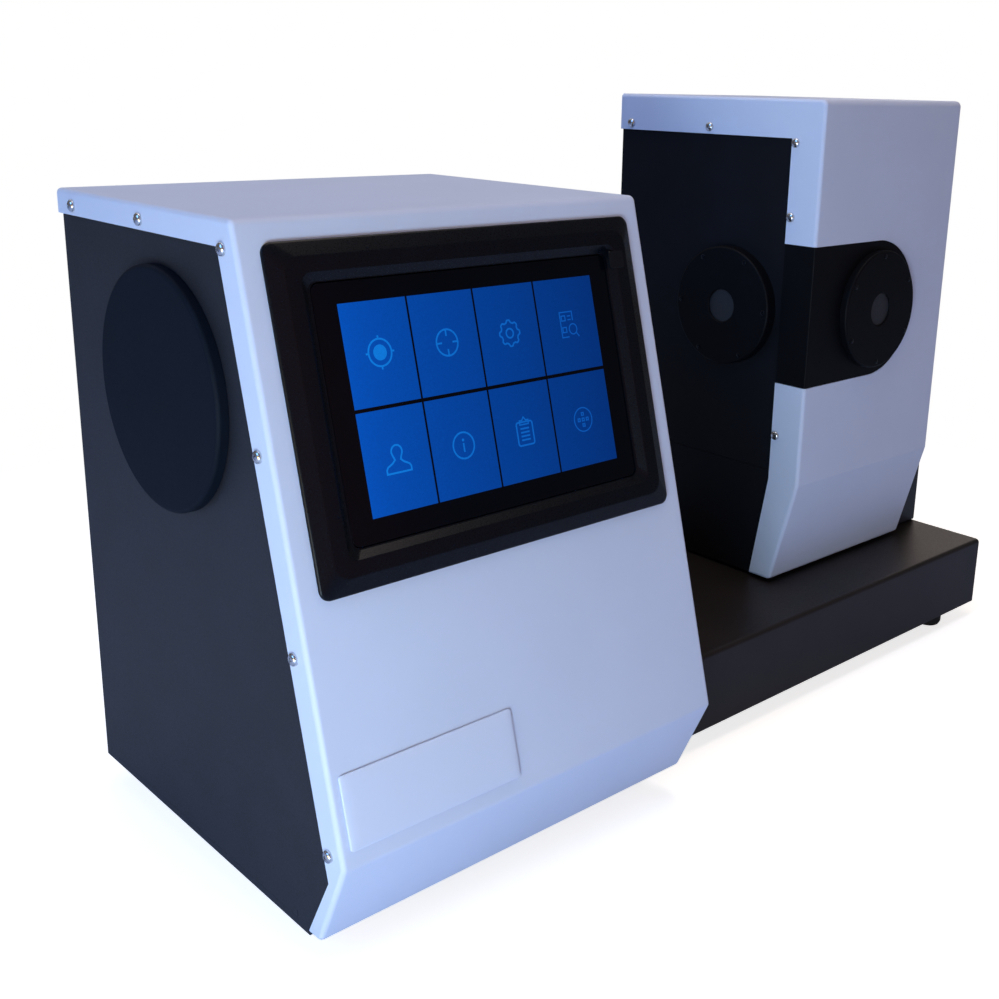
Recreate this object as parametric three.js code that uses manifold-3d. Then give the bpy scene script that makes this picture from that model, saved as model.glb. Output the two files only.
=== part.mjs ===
// Bench haze meter: a console with a slanting touch screen and the lamp optics inside,
// an open sample gap, and a tower with the integrating sphere, its two ports and the light trap.
// Millimetres. X runs along the light beam from the console to the tower, Y points to the back, Z up.

import * as THREE from 'three';
import { mergeVertices } from 'three/addons/utils/BufferGeometryUtils.js';
import Module from 'manifold-3d';

const wasm = await Module();
wasm.setup();

// Sheets and clearances
const coverSheet = 2;
const panelSheet = 2;
const fit = 0.3;
const overrun = 4;
const sideBend = 2.5;
const frontBend = 4;

// Base
const footHeight = 12;
const footRadius = 9.5;
const footTipRadius = 8.3;
const footInsetSide = 38.5;
const footInsetFront = 15;
const baseHeight = 50;
const baseSetback = 22.3;
const baseSheet = 2;
const baseBend = 2;
const baseFrontBend = 3;

// Console
const consoleRise = 4.6;
const consoleTopDepth = 175;
const consoleCreaseDepth = 246.8;
const consoleToeSetback = 21.1;
const consoleCreaseHeight = 46.1;
const consoleLipTop = 12.2;
const consoleLipFront = 14.5;
const consoleLipToe = 9.6;
const consoleLipCreaseDrop = 11;

// Sample gap and tower
const sampleGap = 165.5;
const flapRoom = 14.4;
const detectorRoom = 15.5;
const towerToeSetback = 17.7;
const towerRise = 2.1;
const towerTopMargin = 89.3;
const towerCreaseHeight = 71;
const towerLipTop = 24;
const towerLipFront = 23.8;
const towerLipToe = 17.4;
const towerSeamHeight = 78.6;
const rearRecess = 5;

// Optical axis and sphere
const axisRise = 184.6;
const sphereRadius = 60;
const sphereWall = 3.5;
const neckRadius = 27;
const neckLength = 2.8;
const portRadius = 13;
const detectorPortRadius = 9;
const sphereRimWidth = 10;
const sphereRimThickness = 4;

// Port discs and the band round the tower's corner
const portDiscRadius = 39.3;
const hazeDiscProud = 6;
const compDiscProud = 5.5;
const portDiscEdge = 1.5;
const apertureRadius = 10.8;
const apertureFlare = 1;
const bandHalfHeight = 45.4;

// Lamp bay lid
const lidRadius = 58.1;
const lidTopMargin = 26.2;
const lidProud = 4;
const lidEdge = 2.2;
const spigotRadius = 46;
const spigotWall = 3;
const spigotLength = 8;
const sealThickness = 1;
const sealInner = 48;
const sealOuter = 54;

// Display
const bezelSideMargin = 11;
const bezelTopMargin = 10.4;
const bezelRimSide = 15;
const bezelRimEnd = 14.35;
const bezelProud = 4.5;
const bezelSkirt = 1.2;
const bezelBevel = 7.6;
const bezelCorner = 5;
const landCorner = 5;
const stepRun = 3.4;
const ledgeSide = 1.55;
const ledgeEnd = 0.65;
const glassWidth = 174.5;
const glassHeight = 115;
const glassCorner = 4;
const glassProud = 0.9;
const glassThickness = 2;
const sleeveWall = 4.5;
const sleeveDepth = 13;
const moduleThickness = 10;
const moduleMargin = 1;

// Badge plate
const badgeWidth = 95.4;
const badgeHeight = 33.5;
const badgeThickness = 1.5;
const badgeLeftMargin = 5;
const badgeLowMargin = 7.75;
const badgeCorner = 1.5;
const badgeEdge = 0.5;

// Screws
const screwHeadRadius = 3;
const screwHeadHeight = 2.3;
const screwShankRadius = 1.5;
const screwLength = 8;
const consoleScrewBack = 18;
const consoleScrewPitch = 74;
const consoleScrewDrop = 7.4;
const frontScrewMargin = 10;
const frontScrewStart = 10.5;
const frontScrewPitch = 87;
const towerScrewBack = 10.6;
const towerScrewPitch = 71.5;
const towerScrewDrop = 19.5;
const towerFrontScrewMargin = 20.5;
const towerUpperScrewShares = [0.298, 0.811];
const towerLowScrewShare = 0.5325;

// Lamp optics, carried on a bench under the beam
const benchSheet = 4;
const benchDrop = 42;
const benchHalfWidth = 45;
const benchEndGap = 10;
const saddleThickness = 8;
const saddleHalfWidth = 30;
const saddleTop = 26;
const saddleShares = [0.2, 0.78];
const heatSinkBack = 36;
const finLength = 24;
const finThickness = 1.8;
const finCount = 9;
const heatSinkPlate = 5;
const heatSinkHalfWidth = 28;
const heatSinkTop = 28;
const lampBoardRadius = 11;
const lampBoardThickness = 1.6;
const lampDomeRadius = 3.5;
const condenserPlace = 84;
const condenserBlock = 12;
const condenserHalfWidth = 24;
const condenserTop = 24;
const condenserRadius = 15;
const condenserEdge = 2;
const condenserCrown = 5;
const stopPlace = 112;
const stopThickness = 2;
const stopHalfWidth = 20;
const stopTop = 20;
const stopRadius = 1.5;
const stopFoot = 14;
const barrelStart = 124;
const barrelRadius = 20;
const barrelWall = 3;
const barrelShoulder = 2;
const collimatorEdge = 3;
const collimatorCrown = 4;
const collimatorSetback = 14;
const collarRadius = 34;
const collarThickness = 8;
const collarLip = 2;
const exitRadius = 14;

// Electronics
const electronicsGap = 7;
const supplyWidthShare = 0.545;
const boardThickness = 1.6;
const boardStandoff = 6;
const boardBack = 32;
const boardFrontGap = 21.4;
const supplyLength = 110;
const supplyHeight = 38;
const supplyFrontGap = 25.4;
const chassisSheet = 1.5;
const fanSize = 60;
const fanDepth = 15;
const fanBore = 28.3;
const fanCorner = 3;
const fanLeft = 60;
const fanUp = 110;
const fanHub = 12;
const fanBladeCount = 7;
const fanBladeThickness = 1.6;
const fanShaft = 2;
const fanSpoke = 3;
const grilleSlot = 3;
const grillePitch = 6.5;
const grilleRadius = 27;
const ventCount = 5;
const ventHalfWidth = 30;
const inletRightMargin = 69;
const inletUp = 96;
const inletFlangeWidth = 48;
const inletFlangeHeight = 60;
const inletFlange = 2.3;
const inletCorner = 4;
const inletBodyWidth = 40;
const inletBodyHeight = 52;
const inletBodyDepth = 26;
const socketWidth = 24.6;
const socketHeight = 16.8;
const socketDepth = 18;
const socketChamfer = 4;
const socketRise = 12;
const pinWidth = 4;
const pinThickness = 2;
const pinLength = 11;
const pinSpread = 7;
const rockerWidth = 13;
const rockerHeight = 19;
const rockerDrop = 14;
const rockerTilt = 8;
const rockerProud = 0.9;
const rockerPivotDepth = 6;
const rockerPinRadius = 1.5;
const rockerWellDepth = 14;
const usbWidth = 12;
const usbHeight = 11;
const usbDepth = 16;
const usbWall = 1.6;
const usbUp = 80;

// Tower internals
const standFoot = 38;
const standFootThickness = 5;
const standColumn = 15;
const standCup = 30;
const detectorRadius = 22;
const detectorDepth = 15;
const detectorCapRadius = 16;
const detectorCapDepth = 8;
const trapRadius = 28;
const trapFlangeRadius = 32;
const trapFlange = 3;
const trapMouth = 22;
const trapDepth = 34;
const trapCavity = 28;
const trapBoxHalfWidth = 41.2;
const trapBoxLength = 40;
const trapBoxHeight = 268;
const trapBoxWall = 2;
const trapBoxBend = 1.5;
const flapThickness = 2;
const flapRadius = 19;
const flapArm = 52;
const flapArmWidth = 9;
const flapHubRadius = 5;
const flapHubLength = 8;
const flapShaftRadius = 1.5;
const flapGap = 0.6;
const motorRadius = 12;
const motorLength = 15;
const motorEar = 18;
const motorEarHeight = 8;
const motorEarThickness = 1.5;
const motorHoleDepth = 9;

// Loom from the console's board to the detector
const loomRadius = 2.5;
const loomHole = 9;
const loomTowerLeft = 38;
const loomDepth = 16;

// Base cut-outs under the housings
const bottomSheet = 2;

// Facet counts
const bendSteps = 2;
const smallSides = 8;
const holeSides = 10;
const footSides = 16;
const portSides = 20;
const discSides = 36;
const barrelSides = 20;
const sphereSides = 22;
const sphereRings = 11;
const cornerSteps = 3;
const weldTolerance = 1e-6;

// Places worked out from the sizes above
const landWidth = glassWidth + 2 * (fit + ledgeSide + stepRun);
const landHeight = glassHeight + 2 * (fit + ledgeEnd + stepRun);
const bezelWidth = landWidth + 2 * bezelRimSide;
const bezelHeight = landHeight + 2 * bezelRimEnd;
const consoleWidth = bezelWidth + 2 * bezelSideMargin;
const consoleBottom = footHeight + consoleRise;
const consoleHeight = baseHeight + axisRise + lidRadius + lidTopMargin - consoleRise;
const consoleToeDepth = consoleCreaseDepth - consoleToeSetback;
const baseDepth = consoleToeDepth - baseSetback;
const baseTop = footHeight + baseHeight;
const towerLeft = consoleWidth + sampleGap;
const panelPlane = coverSheet + fit;
const baseLeft = panelPlane + panelSheet + fit;
const portReach = sphereRadius + sphereWall + neckLength;
const sphereRimRadius = sphereRadius + sphereRimWidth;
const sphereAcross = baseLeft + portReach;
const towerWidth = 2 * sphereAcross + flapRoom;
const axisDepth = detectorRoom + detectorCapDepth + detectorDepth + portReach;
const towerDepth = axisDepth + portReach + coverSheet + fit;
const towerToeDepth = towerDepth - towerToeSetback;
const towerHeight = axisRise - towerRise + bandHalfHeight + towerTopMargin;
const axisHeight = baseTop + axisRise;
const panelBend = frontBend - panelPlane;
const trapSeat = towerWidth - panelPlane + fit;
const trapBoxStart = towerWidth + fit;
const baseRight = towerLeft + trapBoxStart + trapBoxLength;
const centreX = (baseRight - lidProud) / 2;
const centreY = -consoleCreaseDepth / 2;
const frontRise = consoleHeight - consoleCreaseHeight;
const frontLean = Math.atan2(consoleCreaseDepth - consoleTopDepth, frontRise);
const benchLeft = baseLeft + benchEndGap;
const benchRight = consoleWidth - baseLeft - benchEndGap / 2;
const supplyLeft = benchLeft + benchSheet + electronicsGap;
const electronicsRoom = benchRight - benchSheet - 2 * electronicsGap - supplyLeft;
const supplyWidth = electronicsRoom * supplyWidthShare;
const supplyFront = baseDepth - supplyFrontGap;
const boardLeft = supplyLeft + supplyWidth + electronicsGap;
const boardWidth = electronicsRoom - supplyWidth;
const boardLength = baseDepth - boardFrontGap - boardBack;
const inletLeft = consoleWidth - inletRightMargin;
const usbLeft = (fanLeft + fanSize / 2 + inletLeft - inletFlangeWidth / 2) / 2;

// Finishes
function finish(color, roughness, metalness) {
  return new THREE.MeshStandardMaterial({ color, roughness, metalness });
}
const whitePaint = () => finish(0xd9dce2, 0.55, 0);
const blackPaint = () => finish(0x16181d, 0.5, 0);
const baseBlack = () => finish(0x121418, 0.32, 0);
const blackPlastic = () => finish(0x0d0e11, 0.45, 0);
const rubber = () => finish(0x101010, 0.85, 0);
const screwSteel = () => finish(0xb9bcc0, 0.28, 1);
const aluminium = () => finish(0xa9adb2, 0.4, 1);
const blackAnodised = () => finish(0x1a1b1e, 0.45, 0.6);
const opticalGlass = () => finish(0xdfeef2, 0.05, 0);
const screenGlass = () => finish(0x05070b, 0.08, 0);
const diffuseWhite = () => finish(0xf2f2ee, 0.9, 0);
const boardGreen = () => finish(0x1d5a3a, 0.5, 0);
const zincPlate = () => finish(0x9a9ea3, 0.35, 0.9);
const badgePlastic = () => finish(0xe6e8ee, 0.35, 0);

// Closed geometry as a solid that can be cut and joined
function solid(geometry) {
  const bare = geometry.clone();
  bare.deleteAttribute('normal');
  bare.deleteAttribute('uv');
  const welded = mergeVertices(bare, weldTolerance);
  const kept = [];
  const index = welded.index.array;
  for (let i = 0; i < index.length; i += 3) {
    const [a, b, c] = [index[i], index[i + 1], index[i + 2]];
    if (a !== b && b !== c && c !== a) {
      kept.push(a, b, c);
    }
  }
  const mesh = new wasm.Mesh({
    numProp: 3,
    vertProperties: Float32Array.from(welded.attributes.position.array),
    triVerts: Uint32Array.from(kept),
  });
  return new wasm.Manifold(mesh);
}

function geometryOf(body) {
  const { vertProperties, triVerts } = body.getMesh();
  const geometry = new THREE.BufferGeometry();
  geometry.setAttribute('position', new THREE.BufferAttribute(Float32Array.from(vertProperties), 3));
  geometry.setIndex(new THREE.BufferAttribute(Uint32Array.from(triVerts), 1));
  geometry.computeVertexNormals();
  return geometry;
}

function joined(geometries) {
  return geometries.map(solid).reduce((whole, next) => whole.add(next));
}

function cut(body, geometries) {
  return geometries.map(solid).reduce((rest, next) => rest.subtract(next), body);
}

function piece(name, body, material) {
  const geometry = body.isBufferGeometry ? geometryOf(solid(body)) : geometryOf(body);
  const mesh = new THREE.Mesh(geometry, material);
  mesh.name = name;
  return mesh;
}

// Plain forms between stated places
function block(x0, x1, y0, y1, z0, z1) {
  const geometry = new THREE.BoxGeometry(x1 - x0, y1 - y0, z1 - z0);
  return geometry.translate((x0 + x1) / 2, (y0 + y1) / 2, (z0 + z1) / 2);
}

function rodX(radius, x0, x1, y, z, sides = holeSides) {
  const geometry = new THREE.CylinderGeometry(radius, radius, x1 - x0, sides);
  return geometry.rotateZ(-Math.PI / 2).translate((x0 + x1) / 2, y, z);
}

function rodY(radius, y0, y1, x, z, sides = holeSides) {
  const geometry = new THREE.CylinderGeometry(radius, radius, y1 - y0, sides);
  return geometry.translate(x, (y0 + y1) / 2, z);
}

function rodZ(radius, z0, z1, x, y, sides = holeSides) {
  const geometry = new THREE.CylinderGeometry(radius, radius, z1 - z0, sides);
  return geometry.rotateX(Math.PI / 2).translate(x, y, (z0 + z1) / 2);
}

// Turned forms: each profile point is [radius, place along the axis]
function turned(profile, sides) {
  return new THREE.LatheGeometry(profile.map(([radius, along]) => new THREE.Vector2(radius, along)), sides);
}

function turnedX(profile, sides) {
  return turned(profile, sides).rotateZ(-Math.PI / 2);
}

function turnedZ(profile, sides) {
  return turned(profile, sides).rotateX(Math.PI / 2);
}

// Side outlines are drawn with depth from the back as x and height as y, then pushed across the width
const acrossWidth = new THREE.Matrix4().makeBasis(
  new THREE.Vector3(0, -1, 0),
  new THREE.Vector3(0, 0, 1),
  new THREE.Vector3(-1, 0, 0),
);

function across(shape, fromX, toX, bend = 0) {
  const geometry = new THREE.ExtrudeGeometry(shape, {
    depth: toX - fromX - 2 * bend,
    bevelEnabled: bend > 0,
    bevelThickness: bend,
    bevelSize: bend,
    bevelOffset: -bend,
    bevelSegments: bendSteps,
    curveSegments: bendSteps,
  });
  return geometry.translate(0, 0, bend).applyMatrix4(acrossWidth).translate(toX, 0, 0);
}

// Outline with its corners rounded; radii follows the points
function roundedShape(points, radii) {
  const shape = new THREE.Shape();
  points.forEach((corner, i) => {
    const before = points[(i + points.length - 1) % points.length];
    const after = points[(i + 1) % points.length];
    const radius = radii[i] ?? 0;
    const toBefore = before.clone().sub(corner).normalize();
    const toAfter = after.clone().sub(corner).normalize();
    const halfAngle = Math.acos(toBefore.dot(toAfter)) / 2;
    const reach = radius / Math.tan(halfAngle);
    const start = corner.clone().addScaledVector(toBefore, reach);
    const end = corner.clone().addScaledVector(toAfter, reach);
    if (i === 0) {
      shape.moveTo(start.x, start.y);
    } else {
      shape.lineTo(start.x, start.y);
    }
    if (radius > 0) {
      shape.quadraticCurveTo(corner.x, corner.y, end.x, end.y);
    }
  });
  shape.closePath();
  return shape;
}

// A path moved inwards, to the right of its run, by one inset for each stretch
function insetPath(points, insets) {
  const lines = [];
  for (let i = 0; i < points.length - 1; i += 1) {
    const along = points[i + 1].clone().sub(points[i]).normalize();
    const inward = new THREE.Vector2(along.y, -along.x);
    const inset = Array.isArray(insets) ? insets[i] : insets;
    lines.push({ point: points[i].clone().addScaledVector(inward, inset), along });
  }
  const first = lines[0].point;
  const last = lines[lines.length - 1];
  const end = last.point.clone().addScaledVector(last.along, points.at(-1).distanceTo(points.at(-2)));
  const moved = [first];
  for (let i = 1; i < lines.length; i += 1) {
    const a = lines[i - 1];
    const b = lines[i];
    const gapVector = b.point.clone().sub(a.point);
    const reach = gapVector.cross(b.along) / a.along.cross(b.along);
    moved.push(a.point.clone().addScaledVector(a.along, reach));
  }
  moved.push(end);
  return moved;
}

// Folded housings: the outline runs from the back along the top, down the front and round the toe
const housings = {
  console: {
    width: consoleWidth,
    height: consoleHeight,
    topDepth: consoleTopDepth,
    creaseDepth: consoleCreaseDepth,
    creaseHeight: consoleCreaseHeight,
    toeDepth: consoleToeDepth,
    lipTop: consoleLipTop,
    lipFront: consoleLipFront,
    lipToe: consoleLipToe,
    lipCreaseDrop: consoleLipCreaseDrop,
    toeReturn: consoleToeDepth - baseDepth - fit,
  },
  tower: {
    width: towerWidth,
    height: towerHeight,
    topDepth: towerDepth,
    creaseDepth: towerDepth,
    creaseHeight: towerCreaseHeight,
    toeDepth: towerToeDepth,
    lipTop: towerLipTop,
    lipFront: towerLipFront,
    lipToe: towerLipToe,
    lipCreaseDrop: 0,
    toeReturn: towerLipToe / 2,
  },
};

function housingPath(h) {
  return [
    new THREE.Vector2(0, h.height),
    new THREE.Vector2(h.topDepth, h.height),
    new THREE.Vector2(h.creaseDepth, h.creaseHeight),
    new THREE.Vector2(h.toeDepth, 0),
    new THREE.Vector2(0, 0),
  ];
}

// The inset outline closed behind the back plane, so that the back stays open
function housingShape(h, inset, bend) {
  const path = insetPath(housingPath(h), inset);
  path[0].x = -overrun;
  path[4].x = -overrun;
  return roundedShape(path, [0, bend, bend, bend, 0]);
}

// The window inside the side lips
function windowShape(h) {
  const slope = (h.creaseDepth - h.topDepth) / (h.height - h.creaseHeight);
  const lipAlong = h.lipFront / Math.cos(Math.atan(slope));
  const creaseLevel = h.creaseHeight - h.lipCreaseDrop;
  const frontAt = (level) => h.topDepth + (h.height - level) * slope - lipAlong;
  const top = h.height - h.lipTop;
  const toe = h.toeDepth - h.lipToe;
  const toeSlope = (frontAt(creaseLevel) - toe) / creaseLevel;
  return roundedShape([
    new THREE.Vector2(-overrun, top),
    new THREE.Vector2(frontAt(top), top),
    new THREE.Vector2(frontAt(creaseLevel), creaseLevel),
    new THREE.Vector2(toe - toeSlope * overrun, -overrun),
    new THREE.Vector2(-overrun, -overrun),
  ], []);
}

function foldedCover(h) {
  const innerEnd = h.width - coverSheet;
  const outer = solid(across(housingShape(h, 0, frontBend), 0, h.width, sideBend));
  const bend = frontBend - coverSheet;
  const inner = across(housingShape(h, coverSheet, bend), coverSheet, innerEnd);
  const windowLeft = across(windowShape(h), -overrun, 2 * coverSheet);
  const windowRight = across(windowShape(h), innerEnd - coverSheet, h.width + overrun);
  const behind = block(-overrun, h.width + overrun, 0, 2 * overrun, -overrun, h.height + overrun);
  const underside = block(-overrun, h.width + overrun, -(h.toeDepth - h.toeReturn), overrun,
    -overrun, 2 * coverSheet);
  return cut(outer, [inner, windowLeft, windowRight, behind, underside]);
}

// Side panel that lies behind the lips, between two levels
function sidePanel(h, x0, x1, from, to) {
  const path = insetPath(housingPath(h), [panelPlane, panelPlane, panelPlane, 0]);
  const shape = roundedShape(path, [0, panelBend, panelBend, 0, 0]);
  const plate = solid(across(shape, x0, x1));
  const band = block(x0 - overrun, x1 + overrun, -h.creaseDepth - overrun, overrun, from, to);
  const toeRoom = block(x0 - overrun, x1 + overrun, -h.creaseDepth, h.toeReturn + fit - h.toeDepth,
    -overrun, frontBend);
  return plate.intersect(solid(band)).subtract(solid(toeRoom));
}

// Pan head screw along X, head towards -X, seated at x = 0
function screwGeometry() {
  return turnedX([
    [0, -screwHeadHeight],
    [screwHeadRadius * screwShoulderShare, -screwHeadHeight * screwCrownShare],
    [screwHeadRadius, -screwHeadHeight * screwRimShare],
    [screwHeadRadius, -fit],
    [screwShankRadius, -fit],
    [screwShankRadius, screwLength],
    [0, screwLength],
  ], smallSides);
}
const screwShoulderShare = 0.8;
const screwCrownShare = 0.85;
const screwRimShare = 0.4;

// Screw places on a left side, as [depth, height]
function consoleScrewPlaces() {
  const places = [];
  for (const step of [0, 1]) {
    places.push([consoleScrewBack + step * consoleScrewPitch, consoleHeight - consoleScrewDrop]);
  }
  const down = new THREE.Vector2(Math.sin(frontLean), -Math.cos(frontLean));
  const inward = new THREE.Vector2(-Math.cos(frontLean), -Math.sin(frontLean));
  for (const step of [0, 1, 2, 3]) {
    const place = new THREE.Vector2(consoleTopDepth, consoleHeight);
    place.addScaledVector(down, frontScrewStart + step * frontScrewPitch);
    place.addScaledVector(inward, frontScrewMargin);
    places.push([place.x, place.y]);
  }
  return places;
}

function towerScrewPlaces() {
  const places = [];
  for (const step of [0, 1]) {
    places.push([towerScrewBack + step * towerScrewPitch, towerHeight - towerScrewDrop]);
  }
  const bandTop = axisRise - towerRise + bandHalfHeight;
  const bandBottom = bandTop - 2 * bandHalfHeight;
  const levels = [
    ...towerUpperScrewShares.map((share) => towerHeight - share * towerTopMargin),
    bandBottom - towerLowScrewShare * (bandBottom - towerCreaseHeight),
  ];
  for (const level of levels) {
    places.push([towerDepth - towerFrontScrewMargin, level]);
  }
  return places;
}

function screwHoles(places, x0, x1) {
  const radius = screwShankRadius + fit;
  return places.map(([depth, height]) => rodX(radius, x0, x1, -depth, height, smallSides));
}

function addScrews(group, places, side) {
  places.forEach(([depth, height], i) => {
    const screw = piece(`${side}_screw_${i + 1}`, screwGeometry(), screwSteel());
    screw.position.set(0, -depth, height);
    group.add(screw);
  });
}

// Rings lofted into a frame or a plate; each section is { width, height, corner, level }
function ringPoints({ width, height, corner, level }) {
  const points = [];
  const centres = [
    [width / 2 - corner, height / 2 - corner],
    [corner - width / 2, height / 2 - corner],
    [corner - width / 2, corner - height / 2],
    [width / 2 - corner, corner - height / 2],
  ];
  centres.forEach(([x, y], quarter) => {
    for (let step = 0; step <= cornerSteps; step += 1) {
      const angle = (quarter + step / cornerSteps) * Math.PI / 2;
      points.push([x + corner * Math.cos(angle), y + corner * Math.sin(angle), level]);
    }
  });
  return points;
}

function loftedFrame(sections) {
  const rings = sections.map(ringPoints);
  const count = rings[0].length;
  const positions = rings.flat(2);
  const index = [];
  for (let k = 0; k < rings.length; k += 1) {
    const next = (k + 1) % rings.length;
    for (let i = 0; i < count; i += 1) {
      const j = (i + 1) % count;
      index.push(k * count + i, k * count + j, next * count + j);
      index.push(k * count + i, next * count + j, next * count + i);
    }
  }
  const geometry = new THREE.BufferGeometry();
  geometry.setAttribute('position', new THREE.Float32BufferAttribute(positions, 3));
  geometry.setIndex(index);
  return geometry;
}

function roundedPlate(width, height, corner, level, thickness, edge = 0) {
  const shape = new THREE.Shape();
  const [w, h] = [width / 2, height / 2];
  shape.moveTo(-w + corner, -h);
  shape.lineTo(w - corner, -h);
  shape.absarc(w - corner, -h + corner, corner, -Math.PI / 2, 0);
  shape.lineTo(w, h - corner);
  shape.absarc(w - corner, h - corner, corner, 0, Math.PI / 2);
  shape.lineTo(-w + corner, h);
  shape.absarc(-w + corner, h - corner, corner, Math.PI / 2, Math.PI);
  shape.lineTo(-w, -h + corner);
  shape.absarc(-w + corner, -h + corner, corner, Math.PI, 1.5 * Math.PI);
  const geometry = new THREE.ExtrudeGeometry(shape, {
    depth: thickness - 2 * edge,
    bevelEnabled: edge > 0,
    bevelThickness: edge,
    bevelSize: edge,
    bevelOffset: -edge,
    bevelSegments: 1,
    curveSegments: cornerSteps,
  });
  return geometry.translate(0, 0, level + edge);
}

// Base: a folded tray, open below, with its bottom plate and four feet
function makeBase() {
  const group = new THREE.Group();
  group.position.z = footHeight;
  const outline = roundedShape([
    new THREE.Vector2(0, -overrun),
    new THREE.Vector2(0, baseHeight),
    new THREE.Vector2(baseDepth, baseHeight),
    new THREE.Vector2(baseDepth, -overrun),
  ], [0, baseFrontBend, baseFrontBend, 0]);
  const outer = solid(across(outline, baseLeft, baseRight, baseBend));
  const hollow = block(baseLeft + baseSheet, baseRight - baseSheet, baseSheet - baseDepth, -baseSheet,
    -2 * overrun, baseHeight - baseSheet);
  const below = block(baseLeft - overrun, baseRight + overrun, -baseDepth - overrun, overrun,
    -2 * overrun, 0);
  const loomY = -loomDepth;
  const holes = [boardLeft + boardWidth - loomHole, towerLeft + loomTowerLeft].map(
    (x) => rodZ(loomHole, baseHeight - 2 * baseSheet, baseHeight + overrun, x, loomY, holeSides));
  group.add(piece('base_shell', cut(outer, [hollow, below, ...holes]), baseBlack()));

  const margin = baseSheet + fit;
  const plate = solid(block(baseLeft + margin, baseRight - margin, margin - baseDepth, -margin,
    0, bottomSheet));
  const studs = footPlaces().map(([x, y]) => rodZ(screwShankRadius + fit, -overrun,
    bottomSheet + overrun, x, y, smallSides));
  group.add(piece('base_bottom_plate', cut(plate, studs), zincPlate()));

  footPlaces().forEach(([x, y, name]) => {
    const foot = piece(name, turnedZ([
      [0, -footHeight],
      [footTipRadius, -footHeight],
      [footRadius, -footHeight + (footRadius - footTipRadius)],
      [footRadius, -fit],
      [screwShankRadius, -fit],
      [screwShankRadius, bottomSheet + fit],
      [0, bottomSheet + fit],
    ], footSides), rubber());
    foot.position.set(x, y, 0);
    group.add(foot);
  });
  return group;
}

function footPlaces() {
  const left = baseLeft + footInsetSide;
  const right = baseRight - footInsetSide;
  const front = footInsetFront - baseDepth;
  const back = -footInsetFront;
  return [
    [left, front, 'foot_front_left'],
    [right, front, 'foot_front_right'],
    [left, back, 'foot_rear_left'],
    [right, back, 'foot_rear_right'],
  ];
}

// Console housing
function makeConsole() {
  const group = new THREE.Group();
  group.position.z = consoleBottom;
  const h = housings.console;
  const axisY = -axisDepth;
  const axisZ = axisHeight - consoleBottom;
  const floor = baseTop - consoleBottom + fit;
  const screws = consoleScrewPlaces();
  const openingWidth = glassWidth + 2 * sleeveWall + 2 * fit;
  const openingHeight = glassHeight + 2 * sleeveWall + 2 * fit;

  const opening = block(-openingWidth / 2, openingWidth / 2, -openingHeight / 2, openingHeight / 2,
    -2 * overrun, overrun);
  opening.applyMatrix4(frontMatrix());
  const holes = [
    ...screwHoles(screws, -overrun, coverSheet + fit),
    ...screwHoles(screws, h.width - coverSheet - fit, h.width + overrun),
  ];
  group.add(piece('console_cover', cut(foldedCover(h), [opening, ...holes]), whitePaint()));

  const bay = rodX(spigotRadius + fit, 0, 2 * baseLeft, axisY, axisZ, discSides);
  const left = sidePanel(h, panelPlane, panelPlane + panelSheet, 0, h.height);
  group.add(piece('console_left_panel',
    cut(left, [bay, ...screwHoles(screws, 0, 2 * baseLeft)]), blackPaint()));

  const rightEnd = h.width - panelPlane;
  const right = sidePanel(h, rightEnd - panelSheet, rightEnd, 0, h.height);
  const baseNotch = block(rightEnd - 2 * panelSheet, h.width, -baseDepth - fit, overrun, -overrun, floor);
  const exit = rodX(barrelRadius + fit, rightEnd - 2 * panelSheet, h.width, axisY, axisZ, barrelSides);
  group.add(piece('console_right_panel',
    cut(right, [baseNotch, exit, ...screwHoles(screws, rightEnd - 2 * panelSheet, h.width)]),
    blackPaint()));

  group.add(piece('console_rear_panel', rearPanel(h, floor), blackPaint()));

  const lidFace = -lidProud;
  const lidBack = panelPlane - sealThickness - 2 * fit;
  const spigotEnd = panelPlane + panelSheet + spigotLength;
  const lid = piece('lamp_bay_lid', turnedX([
    [0, lidFace],
    [lidRadius - lidEdge, lidFace],
    [lidRadius - lidEdge * lidEdgeShare, lidFace + lidEdge * lidCrownShare],
    [lidRadius, lidFace + lidEdge],
    [lidRadius, lidBack],
    [spigotRadius, lidBack],
    [spigotRadius, spigotEnd],
    [spigotRadius - spigotWall, spigotEnd],
    [spigotRadius - spigotWall, lidBack],
    [0, lidBack],
  ], discSides), blackPlastic());
  lid.position.set(0, axisY, axisZ);
  group.add(lid);

  const seal = piece('lid_seal', turnedX([
    [sealInner, lidBack + fit],
    [sealOuter, lidBack + fit],
    [sealOuter, lidBack + fit + sealThickness],
    [sealInner, lidBack + fit + sealThickness],
    [sealInner, lidBack + fit],
  ], portSides), rubber());
  seal.position.set(0, axisY, axisZ);
  group.add(seal);

  addScrews(group, screws, 'console');
  return group;
}
const lidEdgeShare = 0.3;
const lidCrownShare = 0.3;

// From flat display coordinates, x across and y up, to the slanting front
function frontMatrix() {
  const centre = bezelTopMargin + bezelHeight / 2;
  const turn = new THREE.Matrix4().makeRotationX(Math.PI / 2 - frontLean);
  const place = new THREE.Matrix4().makeTranslation(
    consoleWidth / 2, -consoleTopDepth, consoleHeight);
  const drop = new THREE.Matrix4().makeTranslation(0, -centre, 0);
  return place.multiply(turn).multiply(drop);
}

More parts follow.
